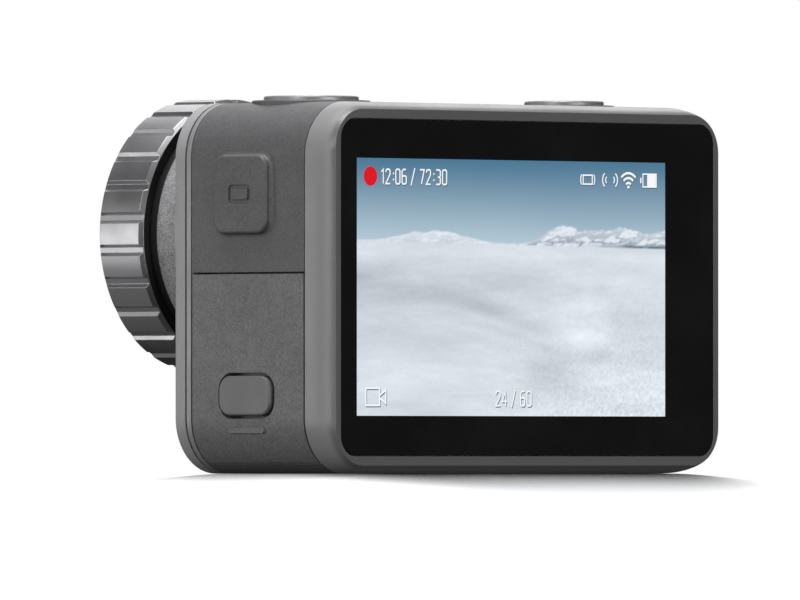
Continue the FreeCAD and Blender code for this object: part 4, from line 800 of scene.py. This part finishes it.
class CAMERA_OT_rear_screen(Operator):
    """Rear glass and the lit picture with its overlay"""
    bl_idname = "action_camera.rear_screen"
    bl_label = "Build the rear screen"

    def execute(self, context):
        s = context.scene.camera_screen
        plane = ScreenPlane(s)
        window = (plane.left - plane.width, plane.left, plane.top - plane.height, plane.top)
        colour = tuple(context.scene.camera_finish.glass_colour)
        finish_nodes(screen_glass("Rear glass", colour, window, clear=0.0), "rear_glass")
        finish_nodes(plastic("Display panel", (0.004, 0.004, 0.005), roughness=0.4), "rear_display")
        screen_picture(plane, s)
        runs = overlay_runs(s, plane.width / MM, plane.height / MM)
        shadow_shift = (0.12, 0.12)
        overlay_piece("screen_overlay_shadow", plane, runs, shadow_shift, SHADOW_DEPTH, (0.10, 0.14, 0.18))
        overlay_piece("screen_overlay", plane, runs, (0.0, 0.0), OVERLAY_DEPTH, (0.92, 0.94, 0.96))
        recording_dot(plane, s)
        return {"FINISHED"}


class CAMERA_OT_front_screen(Operator):
    """Front glass, its dark display and the status light"""
    bl_idname = "action_camera.front_screen"
    bl_label = "Finish the front screen"

    def execute(self, context):
        low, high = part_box("front_display")
        window = (low.x, high.x, low.z, high.z)
        colour = tuple(context.scene.camera_finish.glass_colour)
        finish_nodes(screen_glass("Front glass", colour, window, clear=0.75), "front_glass")
        finish_nodes(plastic("Front panel", (0.01, 0.011, 0.014), roughness=0.3), "front_display")
        finish_nodes(plastic("Light cap", (0.25, 0.02, 0.02), roughness=0.3), "status_light")
        return {"FINISHED"}


class CAMERA_OT_battery(Operator):
    """Battery, its bay, cap, latches and contacts"""
    bl_idname = "action_camera.battery"
    bl_label = "Finish the battery"

    def execute(self, context):
        s = context.scene.camera_finish
        grain = s.grain_size
        cap = plastic("Cap plastic", tuple(s.panel_colour), roughness=0.55, grain=grain)
        finish_nodes(cap, "battery_cap")
        pack = plastic("Pack plastic", (0.03, 0.03, 0.032), roughness=0.45, grain=grain)
        finish_nodes(pack, "battery_pack", "battery_bay")
        latch = plastic("Thumb latch", (0.45, 0.10, 0.02), roughness=0.45, grain=grain, depth=0.01 * MM)
        finish_nodes(latch, "battery_latch_left", "battery_latch_right")
        gold = metal("Gold contact", (0.80, 0.58, 0.25), roughness=0.25)
        finish_nodes(gold, "battery_contacts", "bay_contacts")
        return {"FINISHED"}


class CAMERA_OT_inside(Operator):
    """Boards, sockets, screws and the other inner pieces"""
    bl_idname = "action_camera.inside"
    bl_label = "Finish the inside"

    def execute(self, context):
        steel = metal("Plain steel", (0.55, 0.55, 0.56), roughness=0.3)
        finish_nodes(steel, "chassis", "chassis_screws", "sensor_screws", "shield_can", "usb_socket",
                     "card_slot", "port_hinge_pin", "switch_bracket", "quick_switch_dome", "microphones")
        board = plastic("Solder mask", (0.01, 0.08, 0.03), roughness=0.35, grain=0.4 * MM, depth=0.004 * MM)
        finish_nodes(board, "main_board", "sensor_board", "port_board")
        chip = plastic("Chip black", (0.02, 0.02, 0.022), grain=0.1 * MM)
        finish_nodes(chip, "processor", "memory_card", "speaker", "record_switch", "power_switch")
        return {"FINISHED"}


class CAMERA_OT_stage(Operator):
    """Floor, lights, surroundings and camera"""
    bl_idname = "action_camera.stage"
    bl_label = "Build the stage"

    def execute(self, context):
        s = context.scene.camera_stage
        context.scene.view_settings.view_transform = "Standard"
        build_floor(s)
        build_world(context.scene)
        add_softbox("top_light", (0.06, -0.02, 0.62), 0.36, 0.36, s.top_power)
        add_softbox("side_strip", (0.62, -0.59, -0.005), 0.50, 0.32, s.side_power)
        add_softbox("front_light", (-0.50, -0.52, 0.42), 0.55, 0.45, s.front_power)
        add_softbox("fill_light", (0.90, 0.12, 0.24), 0.40, 0.40, s.fill_power)
        add_softbox("rear_light", (0.10, 0.95, 0.10), 0.60, 0.30, s.rear_power)
        add_camera(context.scene, s)
        return {"FINISHED"}


def build_floor(settings):
    """Floor that is level under the body and falls away from it.

    Point (i, j) lies at distance i outside a rounded rectangle, at angle j round it, where the
    rectangle takes the root of the cosine and the sine; the first row is at the middle.
    Its height is minus the slope's tangent times the distance, softened near the body.
    Near the body a painted contact shadow darkens it, and further out it glows, so that it meets the
    surroundings with no line.
    """
    columns = 256
    half_x, half_y = 30 * MM, 11 * MM
    squareness = 0.5
    softening = 3 * MM
    distance = np.concatenate([[-0.5], np.geomspace(0.0005, 1.5, 90)])[:, None]
    angle = np.linspace(0, 2 * math.pi, columns, endpoint=False)[None, :]
    outside = np.maximum(distance, 0)
    reach_x = np.where(distance < 0, 0.0, half_x + outside)
    reach_y = np.where(distance < 0, 0.0, half_y + outside)
    x = reach_x * np.sign(np.cos(angle)) * np.abs(np.cos(angle)) ** squareness
    y = reach_y * np.sign(np.sin(angle)) * np.abs(np.sin(angle)) ** squareness
    softened = outside - softening * (1 - np.exp(-outside / softening))
    z = -math.tan(settings.floor_slope) * softened + 0 * angle
    vertices = np.stack([x, y, z], axis=-1).reshape(-1, 3)
    material, shader, inputs = new_material("Studio floor")
    # Painted contact shadow: ambient occlusion from the body darkens the floor's colour
    open_sky = shader.add("ShaderNodeAmbientOcclusion", samples=8, Distance=0.02).outputs["AO"]
    shaded, lit = (0.035, 0.035, 0.036), (0.69, 0.69, 0.692)
    shader.feed(shader.mix(shader.spread(open_sky, 0.6, 1.0), shaded, lit), inputs["Base Color"])
    inputs["Roughness"].default_value = 0.9
    inputs["Specular IOR Level"].default_value = 0.0
    away = shader.add("ShaderNodeVectorMath", operation="LENGTH")
    flattened = shader.add("ShaderNodeVectorMath", operation="MULTIPLY")
    shader.feed(shader.place(), flattened.inputs[0])
    flattened.inputs[1].default_value = (1.3, 1.0, 0.0)
    shader.feed(flattened.outputs[0], away.inputs[0])
    glow = shader.spread(away.outputs["Value"], 0.027, 0.066, 0.0, 0.9, smooth=True)
    inputs["Emission Color"].default_value = (1.0, 1.0, 1.0, 1.0)
    shader.feed(glow, inputs["Emission Strength"])
    faces = grid_faces(len(distance), columns, closed=True)
    floor = add_piece("studio_floor", vertices, faces.tolist(), None, material)
    floor.visible_diffuse = False
    floor.visible_glossy = False


def build_world(scene):
    """White to the camera; to everything else a dim dome, dark low down but for one low bounce."""
    world = bpy.data.worlds.new("Studio surroundings")
    world.use_nodes = True
    scene.world = world
    shader = Shader(world.node_tree)
    background = world.node_tree.nodes["Background"]
    seen = shader.add("ShaderNodeLightPath").outputs["Is Camera Ray"]
    parts = shader.add("ShaderNodeSeparateXYZ")
    shader.feed(shader.add("ShaderNodeTexCoord").outputs["Generated"], parts.inputs[0])
    height = shader.spread(parts.outputs["Z"], 0.15, 0.95, smooth=True)
    ambient = shader.mix(height, (0.03, 0.03, 0.03), (0.36, 0.36, 0.367))
    toward = shader.add("ShaderNodeVectorMath", operation="DOT_PRODUCT")
    shader.feed(shader.add("ShaderNodeTexCoord").outputs["Generated"], toward.inputs[0])
    toward.inputs[1].default_value = (0.60, -0.50, -0.62)
    bounce = shader.spread(toward.outputs["Value"], 0.62, 1.0)
    ambient = shader.mix(bounce, ambient, (0.27, 0.27, 0.274))
    shader.feed(shader.mix(seen, ambient, (1.0, 1.0, 1.0)), background.inputs["Color"])


def add_softbox(name, place, width, height, power):
    """Rectangular light at a place, aimed at the middle of the body."""
    light = bpy.data.lights.new(name, "AREA")
    light.shape = "RECTANGLE"
    light.size, light.size_y = width, height
    light.energy = power
    box = bpy.data.objects.new(name, light)
    middle = (CAD_LOW + CAD_HIGH) / 2
    box.location = place
    box.rotation_euler = (middle - box.location).to_track_quat("-Z", "Y").to_euler()
    bpy.context.scene.collection.objects.link(box)


def add_camera(scene, settings):
    """Long lens just below the level of its target, a point inside the body."""
    data = bpy.data.cameras.new("main_camera")
    data.lens = settings.focal_length
    data.sensor_width = 36.0
    data.clip_end = 20.0
    camera = bpy.data.objects.new("main_camera", data)
    flat = math.cos(settings.elevation)
    back = np.array([math.sin(settings.azimuth) * flat, -math.cos(settings.azimuth) * flat,
                     math.sin(settings.elevation)])
    camera.location = np.array(CAMERA_TARGET) + back * settings.distance
    camera.rotation_euler = (math.pi / 2 - settings.elevation, 0, settings.azimuth)
    scene.collection.objects.link(camera)
    scene.camera = camera


class CAMERA_PT_panel(Panel):
    """Sidebar list of the settings and steps"""
    bl_label = "Action Camera"
    bl_idname = "CAMERA_PT_action_camera"
    bl_space_type = "VIEW_3D"
    bl_region_type = "UI"
    bl_category = "Action Camera"

    def draw(self, context):
        for operator in OPERATORS:
            self.layout.operator(operator.bl_idname)
        for group in (context.scene.camera_finish, context.scene.camera_screen, context.scene.camera_stage):
            column = self.layout.column()
            for name in group.bl_rna.properties.keys():
                if name not in ("rna_type", "name"):
                    column.prop(group, name)


GROUPS = {"camera_finish": FinishSettings, "camera_screen": ScreenSettings, "camera_stage": StageSettings}
OPERATORS = (
    CAMERA_OT_housing,
    CAMERA_OT_seals,
    CAMERA_OT_controls,
    CAMERA_OT_lens,
    CAMERA_OT_rear_screen,
    CAMERA_OT_front_screen,
    CAMERA_OT_battery,
    CAMERA_OT_inside,
    CAMERA_OT_stage,
)


def register():
    for group in GROUPS.values():
        bpy.utils.register_class(group)
    for operator in OPERATORS:
        bpy.utils.register_class(operator)
    bpy.utils.register_class(CAMERA_PT_panel)
    for name, group in GROUPS.items():
        setattr(bpy.types.Scene, name, PointerProperty(type=group))


def unregister():
    for name in GROUPS:
        delattr(bpy.types.Scene, name)
    bpy.utils.unregister_class(CAMERA_PT_panel)
    for operator in reversed(OPERATORS):
        bpy.utils.unregister_class(operator)
    for group in reversed(GROUPS.values()):
        bpy.utils.unregister_class(group)


def main():
    """Registers the add-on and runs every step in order."""
    register()
    for operator in OPERATORS:
        category, name = operator.bl_idname.split(".")
        getattr(getattr(bpy.ops, category), name)()


if __name__ == "__main__":
    main()
